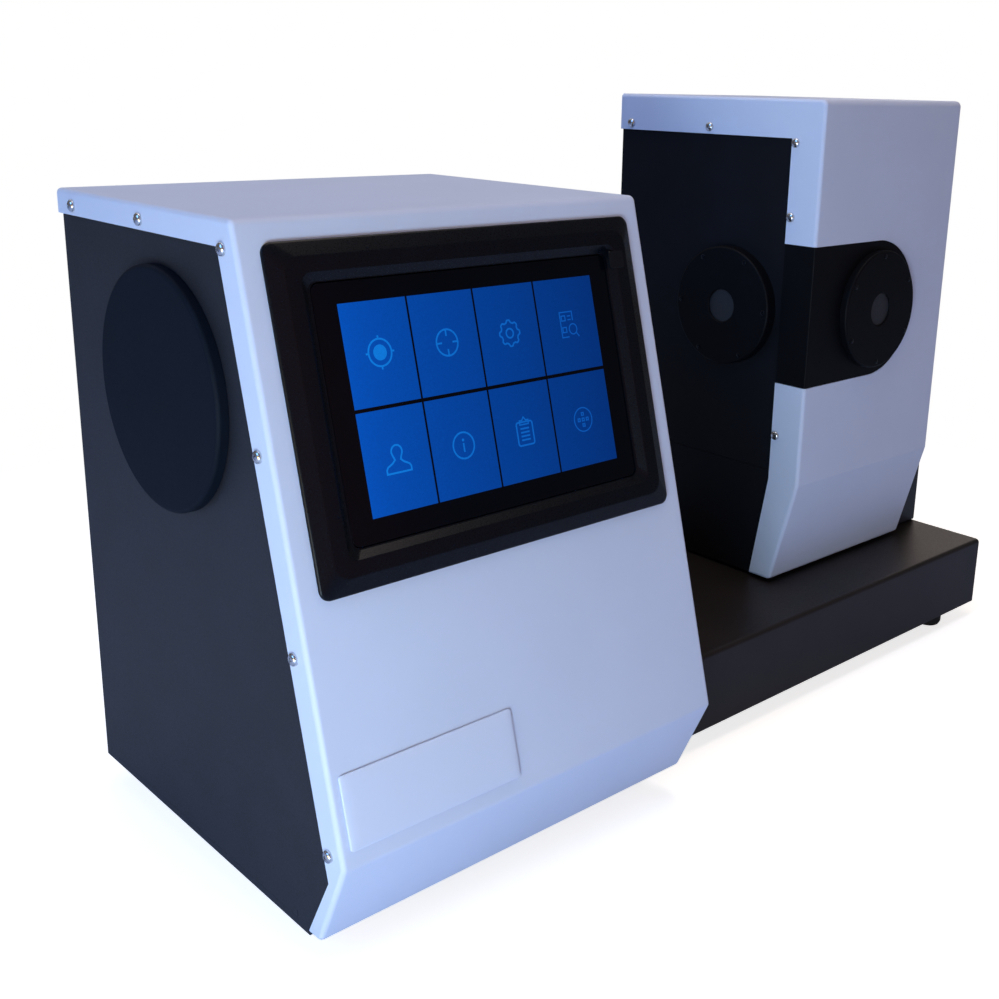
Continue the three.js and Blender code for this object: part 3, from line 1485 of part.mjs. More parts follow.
// Light trap, its box, the flap over the exit port and the flap's motor; origin on the beam
function trapPieces() {
  const trap = piece('light_trap', turnedX([
    [trapMouth, trapSeat],
    [trapFlangeRadius, trapSeat],
    [trapFlangeRadius, trapSeat + trapFlange],
    [trapRadius, trapSeat + trapFlange],
    [trapRadius, trapSeat + trapDepth],
    [0, trapSeat + trapDepth],
    [0, trapSeat + trapCavity],
    [trapMouth, trapSeat],
  ], portSides), blackAnodised());

  const low = fit - axisRise;
  const high = trapBoxHeight - axisRise;
  const start = trapBoxStart;
  const end = start + trapBoxLength;
  const outline = new THREE.Shape();
  outline.moveTo(-trapBoxHalfWidth, low);
  outline.lineTo(trapBoxHalfWidth, low);
  outline.lineTo(trapBoxHalfWidth, high);
  outline.lineTo(-trapBoxHalfWidth, high);
  outline.closePath();
  const shell = solid(across(outline, start - overrun, end, trapBoxBend));
  const inside = trapBoxHalfWidth - trapBoxWall;
  const box = cut(shell, [
    block(start - 2 * overrun, start, -2 * trapBoxHalfWidth, 2 * trapBoxHalfWidth, 2 * low, 2 * high),
    block(start - overrun, end - trapBoxWall, -inside, inside, low + trapBoxWall, high - trapBoxWall),
  ]);

  const flapBack = sphereAcross + portReach + flapGap;
  const flapFront = flapBack + flapThickness;
  const flap = piece('trap_flap', joined([
    rodX(flapRadius, flapBack, flapFront, 0, -flapArm, portSides),
    block(flapBack, flapFront, -flapArmWidth / 2, flapArmWidth / 2, -flapArm, 0),
    rodX(flapHubRadius, flapBack, flapBack + flapHubLength, 0, 0, holeSides),
    rodX(flapShaftRadius, flapFront, trapSeat + motorHoleDepth - fit, 0, 0, holeSides),
  ]), diffuseWhite());
  flap.position.z = flapArm;

  const motorBody = joined([
    rodX(motorRadius, trapSeat, trapSeat + motorLength, 0, 0, portSides),
    block(trapSeat, trapSeat + motorEarThickness, -motorEar, motorEar,
      -motorEarHeight / 2, motorEarHeight / 2),
  ]);
  const motor = piece('flap_motor', cut(motorBody, [
    rodX(flapShaftRadius + fit, trapSeat - overrun, trapSeat + motorHoleDepth, 0, 0, holeSides),
  ]), zincPlate());
  motor.position.z = flapArm;
  return [trap, piece('trap_housing', box, blackPaint()), flap, motor];
}

const hazeMeter = new THREE.Group();
hazeMeter.position.set(-centreX, -centreY, 0);
hazeMeter.add(
  makeBase(),
  makeConsole(),
  makeDisplay(),
  makeOptics(),
  makeElectronics(),
  makeTower(),
  makeSphere(),
);

export default hazeMeter;
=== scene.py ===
"""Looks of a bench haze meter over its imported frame.

Design space is millimetres: x from the console's left face, y negative towards the front
from the back plane, z up from the table. PLACE takes it into the frame, in metres.
"""

import math
import random
from types import SimpleNamespace

import bpy
from mathutils import Matrix, Vector


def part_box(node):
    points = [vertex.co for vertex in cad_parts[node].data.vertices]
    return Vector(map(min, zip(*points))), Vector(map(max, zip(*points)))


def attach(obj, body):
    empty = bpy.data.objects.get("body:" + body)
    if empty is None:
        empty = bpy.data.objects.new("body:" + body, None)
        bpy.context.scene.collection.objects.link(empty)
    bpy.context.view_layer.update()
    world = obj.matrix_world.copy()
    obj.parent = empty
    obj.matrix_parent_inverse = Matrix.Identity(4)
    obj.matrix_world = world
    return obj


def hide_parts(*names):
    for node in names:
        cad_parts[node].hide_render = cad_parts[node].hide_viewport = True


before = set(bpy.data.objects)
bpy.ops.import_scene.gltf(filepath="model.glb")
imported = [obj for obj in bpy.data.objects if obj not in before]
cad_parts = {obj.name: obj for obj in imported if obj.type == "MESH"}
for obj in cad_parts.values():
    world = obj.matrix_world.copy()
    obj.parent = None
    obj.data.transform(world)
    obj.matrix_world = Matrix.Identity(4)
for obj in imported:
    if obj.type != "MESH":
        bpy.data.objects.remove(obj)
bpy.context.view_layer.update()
random.seed(7)

# Design space, tied to the console's left face and back plane
MILLIMETRE = 0.001
PLACE = (
    Matrix.Translation((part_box("console_cover")[0].x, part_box("console_cover")[1].y, 0))
    @ Matrix.Scale(MILLIMETRE, 4)
)

# Sheets, clearances and bends
SHEET = 2.0
FIT = 0.3
OVERRUN = 4.0
SIDE_BEND = 2.5
FRONT_BEND = 4.0
LEAST_RADIUS = 0.05
BEND_STEPS = 5
CORNER_STEPS = 8
RIM_STEPS = 6
ROUND_SIDES = 96
SHARP_ANGLE = math.radians(32)
FLAT_WEIGHT = 80

# Console housing, beyond what its box gives
CONSOLE_TOP_DEPTH = 175.0
CONSOLE_CREASE_HEIGHT = 46.1
CONSOLE_TOE_DEPTH = 225.7
CONSOLE_LIP_TOP = 12.2
CONSOLE_LIP_FRONT = 14.5
CONSOLE_LIP_TOE = 9.6
CONSOLE_LIP_CREASE_DROP = 11.0

# Lower edge of the console's left panel
SKIRT_LEVEL = 12.8
SKIRT_GAP = 0.1
SKIRT_THINNER = 0.4

# Tower housing
TOWER_CREASE_HEIGHT = 71.0
TOWER_TOE_DEPTH = 155.7
TOWER_LIP_TOP = 24.0
TOWER_LIP_FRONT = 23.8
TOWER_LIP_TOE = 17.4
BAND_HALF_HEIGHT = 45.4
BAND_FOLD = 1.0
BAND_CLEARANCE = 0.4

# Base and the light trap's housing
BASE_EDGE = 1.0
BASE_FRONT_BEND = 3.0
TRAP_BEND = 1.5

# Display on the slanting front; sizes are width and height
BEZEL_SIZE = (215.0, 152.4)
BEZEL_TOP_MARGIN = 10.4
BEZEL_MIDDLE = BEZEL_TOP_MARGIN + BEZEL_SIZE[1] / 2
BEZEL_PROUD = 4.5
BEZEL_SKIRT = 1.2
BEZEL_CORNER = 5.0
BEVEL_RUN = 7.6
BEVEL_CORNER_GROWTH = 0.35
LAND_SIZE = (185.0, 123.7)
LAND_CORNER = 5.0
LAND_EDGE_RUN = 0.4
LAND_EDGE_DROP = 0.25
STEP_RUN = 3.4
STEP_EDGE_RUN = 0.3
STEP_EDGE_RISE = 0.2
GLASS_SIZE = (174.5, 115.0)
GLASS_CORNER = 4.0
GLASS_PROUD = 0.9
GLASS_THICKNESS = 2.0
GLASS_EDGE = 0.4
SLEEVE_WALL = 4.5
SLEEVE_DEPTH = 13.0

# Bevel from the skirt inwards: shares of its run and of its rise
BEVEL_SHARES = [
    (0, 0), (0.02, 0.1), (0.07, 0.19), (0.14, 0.27),
    (0.84, 0.88), (0.91, 0.95), (0.96, 0.985), (1, 1),
]

# Lit area of the screen: from the console's left, and down the slope from its top edge
LIT_LEFT = 43.2
LIT_TOP = 38.9
LIT_WIDTH = 150.8
LIT_HEIGHT = 94.4
COLUMN_SHARES = [0, 0.24, 0.491, 0.742, 1]
ROW_SHARES = [0, 0.5, 1]
COLUMN_GAP = 1.1
ROW_GAP = 1.7
TILE_THICKNESS = 0.08

# Line drawings on the tiles: line widths and corners are shares too
ICON_RADIUS = 6.1
ICON_THICKNESS = 0.14
ICON_LINE = 0.85
THIN = 0.7
CLIP_LINE = 0.8
LEAST_MITRE = 0.5
FULL_TURN = (0, 360)
ARC_STEPS = 36
HEAD_STEPS = 18
GEAR_TEETH = 8
GEAR_STEPS = 12
GEAR_FLANK = 2.2
BOARD_CORNER = 0.2
HEAD_ARC = (-20, 200)
SHOULDERS = [(-0.32, 0.18), (-0.26, 0.02), (-0.5, -0.2), (-0.95, -0.42), (-1.08, -0.62), (-1.08, -0.92)]

# Rows of drawings; each mark is a kind, a line width and a shape in shares of the radius.
# A ring, dot or square goes by its radius and middle, ticks by an inner and an outer radius.
ICONS = [
    [
        [("dot", 1, 0.58), ("ring", 1, 1), ("ticks", 1, 1, 1.24)],
        [("ring", 1, 1), ("ticks", 1, 0.5, 1)],
        [("gear", 1, 0.94, 0.09), ("ring", 1, 0.36)],
        [
            ("line", THIN, (0.5, 0.3), (0.5, 1.05), (-0.85, 1.05), (-0.85, -1), (-0.1, -1)),
            ("ring", THIN, 0.42, 0.42, -0.4),
            ("line", THIN, (0.72, -0.72), (1, -1.05)),
            ("square", THIN, 0.2, -0.5, 0.55),
            ("square", THIN, 0.2, -0.5, -0.4),
            ("line", THIN, (-0.05, 0.7), (0.3, 0.7)),
            ("line", THIN, (-0.05, 0.4), (0.3, 0.4)),
        ],
    ],
    [
        [("person", 1, 0.47, 0, 0.62)],
        [("ring", 1, 1), ("dot", 1, 0.11, 0, 0.42), ("line", 1, (0, 0.18), (0, -0.5))],
        [
            ("board", 1, (-0.82, -1.02), (-0.82, 0.82), (0.82, 0.82), (0.82, -1.02)),
            ("outline", CLIP_LINE, (-0.45, 0.62), (-0.45, 0.95), (-0.2, 0.95), (0, 1.2), (0.2, 0.95),
             (0.45, 0.95), (0.45, 0.62)),
            ("line", 1, (-0.45, 0.3), (0.45, 0.3)),
            ("line", 1, (-0.45, 0), (0.45, 0)),
            ("line", 1, (-0.45, -0.3), (0.45, -0.3)),
            ("line", 1, (-0.45, -0.6), (0.45, -0.6)),
        ],
        [
            ("ring", THIN, 0.98),
            ("square", THIN, 0.11, -0.46, 0),
            ("square", THIN, 0.11, 0, -0.46),
            ("square", THIN, 0.11, 0, 0),
            ("square", THIN, 0.11, 0, 0.46),
            ("square", THIN, 0.11, 0.46, 0),
        ],
    ],
]

# Pull tab of a clear film on the bezel, placed like the lit area
TAB_LEFT = 206.2
TAB_TOP = 28.2
TAB_SIZE = (10.4, 8.7)
TAB_CORNER = 1.6
TAB_THICKNESS = 0.18

# Badge plate, domed towards its middle
BADGE_SIZE = (95.4, 33.5)
BADGE_THICKNESS = 1.5
BADGE_LEFT_MARGIN = 5.0
BADGE_TOP_MARGIN = 236.4
BADGE_CORNER = 1.5
BADGE_RIM = 0.7
DOME_RUN = 7.0
DOME_POWER = 1.3
DOME_STEPS = 16

# Round pieces
LID_EDGE = 2.2
SPIGOT_RADIUS = 46.0
SPIGOT_WALL = 3.0
DISC_EDGE = 1.5
APERTURE_RADIUS = 10.8
APERTURE_FLARE = 0.5
APERTURE_LIP = 1.4
APERTURE_STEP = 2.0
# Dark disc behind each port's aperture: painted shade that stands in for the sphere's dim inside
SHADE_DISC_THICKNESS = 1.2
SHADE_DISC_GAP = 0.1
DISC_SCREW_RADIUS = 1.6
DISC_SCREW_HEIGHT = 0.5
DISC_SCREW_SHARE = 0.9
DISC_SCREW_COUNT = 6
COLLAR_BORE = 20.3
EXIT_RADIUS = 14.0
SPHERE_RADIUS = 60.0

# Lower end of a foot: the radius that each point counts from, how far on and how high
FOOT_TIP_SHARE = 0.87
FOOT_SIDES = 48
FOOT_PROFILE = [
    ("rim", 0, 3.0), ("rim", -0.3, 2.2), ("tip", 0, 0.5), ("tip", -0.6, 0),
    ("middle", 2.6, 0.2), ("middle", 2.2, 1.2), ("middle", 0, 1.2),
]

# Pan head screws; the cross is narrower at its floor than at its mouth
HEAD_RADIUS = 3.0
HEAD_HEIGHT = 2.3
HEAD_RIM = 0.7
HEAD_FLAT_SHARE = 0.15
HEAD_SIDES = 32
CROSS_REACH = 1.75
CROSS_WIDTH = 0.62
CROSS_DEPTH = 1.3
CROSS_OVERRUN = 1.0
CROSS_FLOOR_SHARE = 0.45
CROSS_MOUTH_SHARE = 1.15

# Noise in the materials, and gloss where a finish says nothing else
NOISE_ROUGHNESS = 0.55
NOISE_LOW = 0.3
NOISE_HIGH = 0.7
SLOW_DETAIL = 3.0
FINE_DETAIL = 4.0
GLOSS_CHANGE = 0.06
PLAIN_SPECULAR = 0.5
COAT_ROUGHNESS = 0.12

# Integrating sphere: white ends and paint starts this far outside its inner wall
SPHERE_WHITE = (0.8, 0.8, 0.79)
SPHERE_PAINT = (0.012, 0.012, 0.014)
WHITE_END = 0.3
PAINT_START = 0.8
SPHERE_MOTTLE = 12.0
WHITE_LEAST = 0.97
PAINT_LEAST = 0.8

# Lit screen surfaces: colour at the left end and at the right end; the fall towards the right end is
# painted shade for the screen's dimming with viewing angle
LIT_TILES = ((0.0006, 0.08, 0.48), (0.0005, 0.0285, 0.182))
LIT_ICONS = ((0.004, 0.22, 0.78), (0.003, 0.078, 0.40))
LIT_BASE = (0.0005, 0.001, 0.003)
LIT_ROUGHNESS = 0.25
LIT_SPECULAR = 0.05
LIT_GRAIN = 0.8
LIT_DETAIL = 2.0
LIT_LEAST = 0.93
LIT_MOST = 1.07
PAINTED_SHADE_POWER = 0.6

# Finishes: colour, roughness, grain, relief and mottle in millimetres, colour change, the rest
FINISHES = {
    # The white paint's blue tint is partly painted light: about half the blue cast of the lights is put
    # into its colour, the rest comes from blue lamps
    "white_paint": ((0.55, 0.62, 0.80), 0.5, 0.9, 0.012, 60, 0.02, {"specular": 0.4}),
    "base_paint": ((0.0115, 0.0085, 0.0092), 0.46, 0.8, 0.01, 40, 0.2, {"specular": 0.28}),
    "black_panel": ((0.0078, 0.0095, 0.0158), 0.55, 0.7, 0.025, 30, 0.15, {"specular": 0.45}),
    "black_plastic": ((0.01, 0.011, 0.015), 0.5, 0.6, 0.015, 20, 0.15, {"specular": 0.4}),
    "black_gloss": ((0.0012, 0.0022, 0.005), 0.3, 0.6, 0.006, 20, 0.15, {"specular": 0.17}),
    "port_plastic": ((0.0016, 0.002, 0.0036), 0.55, 0.6, 0.01, 20, 0.15, {"specular": 0.1}),
    # The port finish below is an even dark grey: painted shade for the sphere's dim inside seen through
    # a port
    "port_pane": ((0.024, 0.026, 0.031), 0.5, 2.0, 0.003, 12, 0.05, {"specular": 0.2}),
    "dull_plastic": ((0.003, 0.0058, 0.0125), 0.62, 0.5, 0.012, 25, 0.12, {"specular": 0.09}),
    "tower_panel": ((0.004, 0.0046, 0.0078), 0.6, 0.7, 0.02, 30, 0.15, {"specular": 0.14}),
    "rubber": ((0.012, 0.012, 0.013), 0.85, 0.5, 0.03, 8, 0.25, {"specular": 0.3}),
    "screw_steel": ((0.62, 0.63, 0.66), 0.24, 0.4, 0.006, 2, 0.12,
                    {"metallic": 1, "gloss_change": 0.08}),
    "bare_aluminium": ((0.6, 0.61, 0.63), 0.36, 0.5, 0.008, 25, 0.05,
                       {"metallic": 1, "stretch": (0.1, 1, 1)}),
    "black_anodised": ((0.018, 0.018, 0.021), 0.42, 0.4, 0.006, 20, 0.2, {"metallic": 0.6}),
    "sphere_shell": (SPHERE_WHITE, 0.8, 0.5, 0.015, 25, 0.03, {}),
    "diffuse_white": ((0.86, 0.86, 0.84), 0.85, 0.4, 0.02, 15, 0.03, {}),
    "optical_glass": ((0.9, 0.97, 1.0), 0.02, 20, 0.002, 30, 0.1,
                      {"gloss_change": 0.02, "transmission": 1}),
    "screen_glass": ((0.001, 0.0016, 0.0038), 0.16, 20, 0.002, 30, 0.1,
                     {"gloss_change": 0.02, "specular": 0.1}),
    "film": ((0.004, 0.0048, 0.008), 0.22, 3.0, 0.003, 6, 0.15, {"specular": 0.22}),
    "module": ((0.42, 0.43, 0.45), 0.4, 0.6, 0.01, 15, 0.08, {"metallic": 0.8}),
    # The badge's blue tint is partly painted light, the same share of the lights' blue cast as the
    # white paint's
    "badge": ((0.58, 0.65, 0.83), 0.3, 60, 0.003, 80, 0.008, {"gloss_change": 0.02}),
    "circuit_board": ((0.02, 0.1, 0.05), 0.4, 1.2, 0.03, 4, 0.3, {"coat": 0.3}),
    "supply": ((0.5, 0.51, 0.52), 0.4, 1.0, 0.01, 20, 0.08, {"metallic": 0.9}),
    "zinc_plate": ((0.5, 0.51, 0.54), 0.36, 1.5, 0.01, 12, 0.12,
                   {"metallic": 0.95, "second": (0.54, 0.52, 0.46)}),
}

# CAD nodes that stay in view, by the finish they take
CARRIED_OVER = {
    "black_panel": ["console_left_panel", "console_right_panel", "console_rear_panel"],
    "tower_panel": [
        "tower_left_panel_upper", "tower_left_panel_lower", "tower_right_panel",
        "tower_rear_panel",
    ],
    "zinc_plate": ["base_bottom_plate", "usb_socket", "flap_motor"],
    "rubber": ["lid_seal", "sensor_loom"],
    "module": ["display_module"],
    "bare_aluminium": ["optical_bench"],
    "black_anodised": [
        "lamp_heat_sink", "condenser_holder", "field_stop", "collimator_barrel",
        "light_trap", "sphere_stand", "detector_housing",
    ],
    "diffuse_white": ["lamp_led", "trap_flap"],
    "optical_glass": ["condenser_lens", "collimator_lens"],
    "circuit_board": ["main_board"],
    "supply": ["power_supply"],
    "black_plastic": ["fan_frame", "fan_rotor", "power_inlet", "power_rocker"],
    "sphere_shell": ["sphere_front_half", "sphere_rear_half"],
}

# Room and floor; the floor fades to plain white between two distances in metres
WHITE = (1, 1, 1)
ROOM_COLOUR = (1.0, 0.93, 0.88)
ROOM_STRENGTH = 0.15
FLOOR_REACH = 6000.0
FLOOR_NEAR = 0.36
FLOOR_FAR = 0.75
FLOOR_BOUNCE = (0.62, 0.74, 1.0)
FLOOR_SEEN = (0.9, 0.9, 0.9)
FLOOR_GLOW = 0.72

# Area lights: name, place and target in metres from the object's middle, size, power, colour
LIGHTS = [
    ("light_near_left", (-0.95, -0.35, 0.18), (-0.2, -0.05, 0.12), 0.35, 1.57, (1.0, 0.72, 0.2)),
    ("light_low_left", (-0.75, -0.55, 0.06), (-0.2, -0.08, 0.08), 0.25, 4.7, (0.59, 0.82, 1.0)),
    ("light_window", (-2.13, 0.0, 1.65), (0.0, 0.0, 0.16), 1.3, 23.5, (0.16, 0.44, 1.0)),
    ("light_top", (0.01, -0.05, 1.24), (-0.18, -0.05, 0.16), 0.8, 5.1, (1.0, 0.88, 0.8)),
    ("light_back", (0.0, 1.84, 2.0), (0.0, 0.0, 0.16), 1.3, 5.5, (1.0, 1.0, 1.0)),
    ("light_right", (2.36, 0.86, 0.83), (0.0, 0.0, 0.16), 1.3, 5.0, (1.0, 0.85, 0.8)),
    ("light_front", (-0.1, -1.9, 0.5), (0.0, 0.0, 0.16), 2.2, 3.8, (1.0, 0.3, 0.1)),
]

# Camera: its place is in design space, its near limit in metres
CAMERA_PLACE = Vector((-254.44, -646.06, 386.8))
CAMERA_HEADING = -0.752
CAMERA_DIP = 0.2757
CAMERA_ROLL = 0.0232
CAMERA_SENSOR = 36.0
CAMERA_LENS = 45.65
CAMERA_SHIFT_X = -0.0598
CAMERA_SHIFT_Y = -0.0574
CAMERA_NEAR = 0.01


def design_box(name):
    """Lowest and highest corner of a CAD node in design space."""
    low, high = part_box(name)
    inverse = PLACE.inverted()
    return inverse @ low, inverse @ high


def centre_of(name):
    low, high = design_box(name)
    return (low + high) / 2


console_low, console_high = design_box("console_cover")
tower_low, tower_high = design_box("tower_cover")
base_low, base_high = design_box("base_shell")
beam = centre_of("haze_port_disc")
SPHERE_CENTRE = Vector((centre_of("comp_port_disc").x, beam.y, beam.z))
FRONT_LEAN = math.atan2(
    -console_low.y - CONSOLE_TOP_DEPTH,
    console_high.z - console_low.z - CONSOLE_CREASE_HEIGHT,
)
TO_LEFT = Matrix.Rotation(-math.pi / 2, 4, "Y")
TO_RIGHT = Matrix.Rotation(math.pi / 2, 4, "Y")
TO_FRONT = Matrix.Rotation(math.pi / 2, 4, "X")


# Procedural materials
def feed(tree, made, **values):
    """Fills a node; each value is a setting, a number, a colour or an output to link."""
    for key, value in values.items():
        socket = made.inputs.get(key.replace("_", " "))
        if socket is None:
            setattr(made, key, value)
        elif isinstance(value, bpy.types.NodeSocket):
            tree.links.new(value, socket)
        elif socket.type == "RGBA":
            socket.default_value = (*value, 1)
        else:
            socket.default_value = value
    return made


def node(tree, kind, **values):
    return feed(tree, tree.nodes.new(kind), **values)


def noise(tree, size, detail, stretch=(1, 1, 1)):
    """Noise whose features are about size millimetres across."""
    place = node(tree, "ShaderNodeTexCoord").outputs["Object"]
    scale = [share / (size * MILLIMETRE) for share in stretch]
    scaled = node(tree, "ShaderNodeMapping", Vector=place, Scale=scale)
    texture = node(tree, "ShaderNodeTexNoise", Vector=scaled.outputs["Vector"], Scale=1,
                   Detail=detail, Roughness=NOISE_ROUGHNESS)
    return texture.outputs["Fac"]


def ranged(tree, value, low, high, from_low=NOISE_LOW, from_high=NOISE_HIGH):
    made = node(tree, "ShaderNodeMapRange", Value=value, From_Min=from_low, From_Max=from_high,
                To_Min=low, To_Max=high)
    return made.outputs["Result"]


def blended(tree, share, first, second):
    made = node(tree, "ShaderNodeMix", data_type="RGBA", Factor=share, A=first, B=second)
    return made.outputs["Result"]


def surface(name, colour, roughness, grain, relief, mottle, variation, second=None,
            stretch=(1, 1, 1), gloss_change=GLOSS_CHANGE, metallic=0, specular=PLAIN_SPECULAR,
            coat=0, transmission=0):
    """A painted, moulded or metal skin: fine relief, slow colour change and uneven gloss."""
    material = bpy.data.materials.new(name)
    material.use_nodes = True
    tree = material.node_tree
    dark = [channel * (1 - variation) for channel in colour]
    light = [channel * (1 + variation) for channel in (second or colour)]
    share = ranged(tree, noise(tree, mottle, SLOW_DETAIL), 0, 1)
    fine = noise(tree, grain, FINE_DETAIL, stretch)
    gloss = ranged(tree, fine, roughness - gloss_change, roughness + gloss_change)
    bump = node(tree, "ShaderNodeBump", Strength=1, Distance=relief * MILLIMETRE, Height=fine)
    feed(tree, tree.nodes["Principled BSDF"], Base_Color=blended(tree, share, dark, light),
         Roughness=gloss, Normal=bump.outputs["Normal"], Metallic=metallic,
         Specular_IOR_Level=specular, Coat_Weight=coat, Coat_Roughness=COAT_ROUGHNESS,
         Transmission_Weight=transmission)
    return material


def coat_sphere(material):
    """White on the sphere's inner wall, dark paint on its bores and outside."""
    tree = material.node_tree
    place = node(tree, "ShaderNodeTexCoord").outputs["Object"]
    reach = node(tree, "ShaderNodeVectorMath", operation="DISTANCE", Vector=place)
    reach.inputs[1].default_value = PLACE @ SPHERE_CENTRE
    inner = (SPHERE_RADIUS + WHITE_END) * MILLIMETRE
    outer = (SPHERE_RADIUS + PAINT_START) * MILLIMETRE
    share = ranged(tree, reach.outputs["Value"], 0, 1, inner, outer)
    speckle = ranged(tree, noise(tree, SPHERE_MOTTLE, SLOW_DETAIL), 0, 1)
    white = blended(tree, speckle, [c * WHITE_LEAST for c in SPHERE_WHITE], SPHERE_WHITE)
    paint = blended(tree, speckle, [c * PAINT_LEAST for c in SPHERE_PAINT], SPHERE_PAINT)
    feed(tree, tree.nodes["Principled BSDF"], Base_Color=blended(tree, share, white, paint))


def glowing(name, near, far):
    """A lit screen area, brighter at its left end than at its right end; the fall is painted shade for
    the screen's dimming with viewing angle.
    """
    material = bpy.data.materials.new(name)
    material.use_nodes = True
    tree = material.node_tree
    place = node(tree, "ShaderNodeTexCoord").outputs["Object"]
    split = node(tree, "ShaderNodeSeparateXYZ", Vector=place)
    left = (PLACE @ Vector((LIT_LEFT, 0, 0))).x
    right = (PLACE @ Vector((LIT_LEFT + LIT_WIDTH, 0, 0))).x
    # painted shade: the glow falls from the left end to the right end
    along = ranged(tree, split.outputs["X"], 0, 1, left, right)
    curve = node(tree, "ShaderNodeMath", operation="POWER", Value=along)
    curve.inputs[1].default_value = PAINTED_SHADE_POWER
    level = blended(tree, curve.outputs["Value"], near, far)
    speckle = ranged(tree, noise(tree, LIT_GRAIN, LIT_DETAIL), LIT_LEAST, LIT_MOST)
    product = node(tree, "ShaderNodeVectorMath", operation="SCALE", Vector=level, Scale=speckle)
    feed(tree, tree.nodes["Principled BSDF"], Base_Color=LIT_BASE, Roughness=LIT_ROUGHNESS,
         Specular_IOR_Level=LIT_SPECULAR, Emission_Strength=1,
         Emission_Color=product.outputs["Vector"])
    return material


MATERIALS = {}
for finish, (*values, more) in FINISHES.items():
    MATERIALS[finish] = surface(finish, *values, **more)
MATERIALS["lit_tiles"] = glowing("lit_tiles", *LIT_TILES)
MATERIALS["lit_icons"] = glowing("lit_icons", *LIT_ICONS)
coat_sphere(MATERIALS["sphere_shell"])


def dress_nodes():
    for finish, names in CARRIED_OVER.items():
        for name in names:
            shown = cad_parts[name]
            shown.data.materials.clear()
            shown.data.materials.append(MATERIALS[finish])


# Outlines in a plane, as lists of (a, b)
def inset_corners(corners, inset):
    """Corners of a clockwise outline, each side moved inwards."""
    count = len(corners)
    lines = []
    for i, corner in enumerate(corners):
        run = (corners[(i + 1) % count] - corner).normalized()
        lines.append((corner + Vector((run.y, -run.x)) * inset, run))
    moved = []
    for i in range(count):
        (a, run_a), (b, run_b) = lines[i - 1], lines[i]
        reach = (b - a).cross(run_b) / run_a.cross(run_b)
        moved.append(a + run_a * reach)
    return moved


def rounded(corners, radii):
    """The outline with an arc at each corner that has a radius."""
    points = []
    count = len(corners)
    for i, corner in enumerate(corners):
        radius = radii[i]
        if radius is None:
            points.append(corner)
            continue
        back = (corners[i - 1] - corner).normalized()
        on = (corners[(i + 1) % count] - corner).normalized()
        half = math.acos(max(-1, min(1, back.dot(on)))) / 2
        middle = corner + (back + on).normalized() * (radius / math.sin(half))
        start = corner + back * (radius / math.tan(half)) - middle
        sweep = (math.pi - 2 * half) * (1 if back.cross(on) < 0 else -1)
        for step in range(CORNER_STEPS + 1):
            turn = sweep * step / CORNER_STEPS
            points.append(middle + Matrix.Rotation(turn, 2) @ start)
    return points


def plate_ring(size, corner, level, inset=0):
    """A level rounded rectangle about the origin, each side moved in by inset."""
    a, b = (extent / 2 - inset for extent in size)
    corners = [Vector((-a, -b)), Vector((-a, b)), Vector((a, b)), Vector((a, -b))]
    outline = rounded(corners, [corner] * len(corners))
    return [Vector((p.x, p.y, level)) for p in reversed(outline)]


# Meshes
def make_piece(name, vertices, faces, matrix=None):
    """A mesh object in design space."""
    mesh = bpy.data.meshes.new(name)
    mesh.from_pydata([tuple(v) for v in vertices], [], faces)
    if matrix is not None:
        mesh.transform(matrix)
    piece = bpy.data.objects.new(name, mesh)
    bpy.context.scene.collection.objects.link(piece)
    return piece


def loft(rings, joined=False):
    """Vertices and faces through rings of equal count, capped or joined into a loop."""
    count = len(rings[0])
    vertices = [v for ring in rings for v in ring]
    faces = []
    for k in range(len(rings) if joined else len(rings) - 1):
        near, far = k * count, ((k + 1) % len(rings)) * count
        for i in range(count):
            j = (i + 1) % count
            faces.append((near + i, near + j, far + j, far + i))
    if not joined:
        faces.append(tuple(reversed(range(count))))
        faces.append(tuple((len(rings) - 1) * count + i for i in range(count)))
    return vertices, faces


def turned(profile, sides=ROUND_SIDES):
    """A revolved form about z; profile points are (radius, height), down the outside.

    The profile runs from axis to axis, or ends on the point where it starts.
    """
    vertices, faces, rows = [], [], []
    ring = profile[0] == profile[-1]
    if ring:
        profile = profile[:-1]
    for radius, height in profile:
        if radius == 0:
            rows.append([len(vertices)])
            vertices.append(Vector((0, 0, height)))
            continue
        row = []
        for i in range(sides):
            angle = 2 * math.pi * i / sides
            row.append(len(vertices))
            vertices.append(Vector((radius * math.cos(angle), radius * math.sin(angle), height)))
        rows.append(row)
    pairs = list(zip(rows, rows[1:]))
    if ring:
        pairs.append((rows[-1], rows[0]))
    for near, far in pairs:
        for i in range(sides):
            j = (i + 1) % sides
            corners = (near[i % len(near)], far[i % len(far)], far[j % len(far)], near[j % len(near)])
            faces.append(tuple(dict.fromkeys(corners)))
    return vertices, faces


def rounding(radius, height, size):
    """Profile points of a quarter round at an outer rim that faces up."""
    points = []
    for step in range(RIM_STEPS, -1, -1):
        turn = math.pi / 2 * step / RIM_STEPS
        points.append((radius - size + size * math.cos(turn), height - size + size * math.sin(turn)))
    return points


def carve(body, cutters, operation="DIFFERENCE"):
    """Cuts the body with the cutters, or keeps what they share, and removes the cutters."""
    group = bpy.data.collections.new("cutters")
    bpy.context.scene.collection.children.link(group)
    for cutter in cutters:
        group.objects.link(cutter)
    change = body.modifiers.new("cut", "BOOLEAN")
    change.operation = operation
    change.operand_type = "COLLECTION"
    change.collection = group
    change.solver = "EXACT"
    graph = bpy.context.evaluated_depsgraph_get()
    result = bpy.data.meshes.new_from_object(body.evaluated_get(graph))
    body.modifiers.clear()
    old_meshes = [body.data] + [cutter.data for cutter in cutters]
    body.data = result
    for cutter in cutters:
        bpy.data.objects.remove(cutter)
    for mesh in old_meshes:
        bpy.data.meshes.remove(mesh)
    bpy.data.collections.remove(group)
    return body


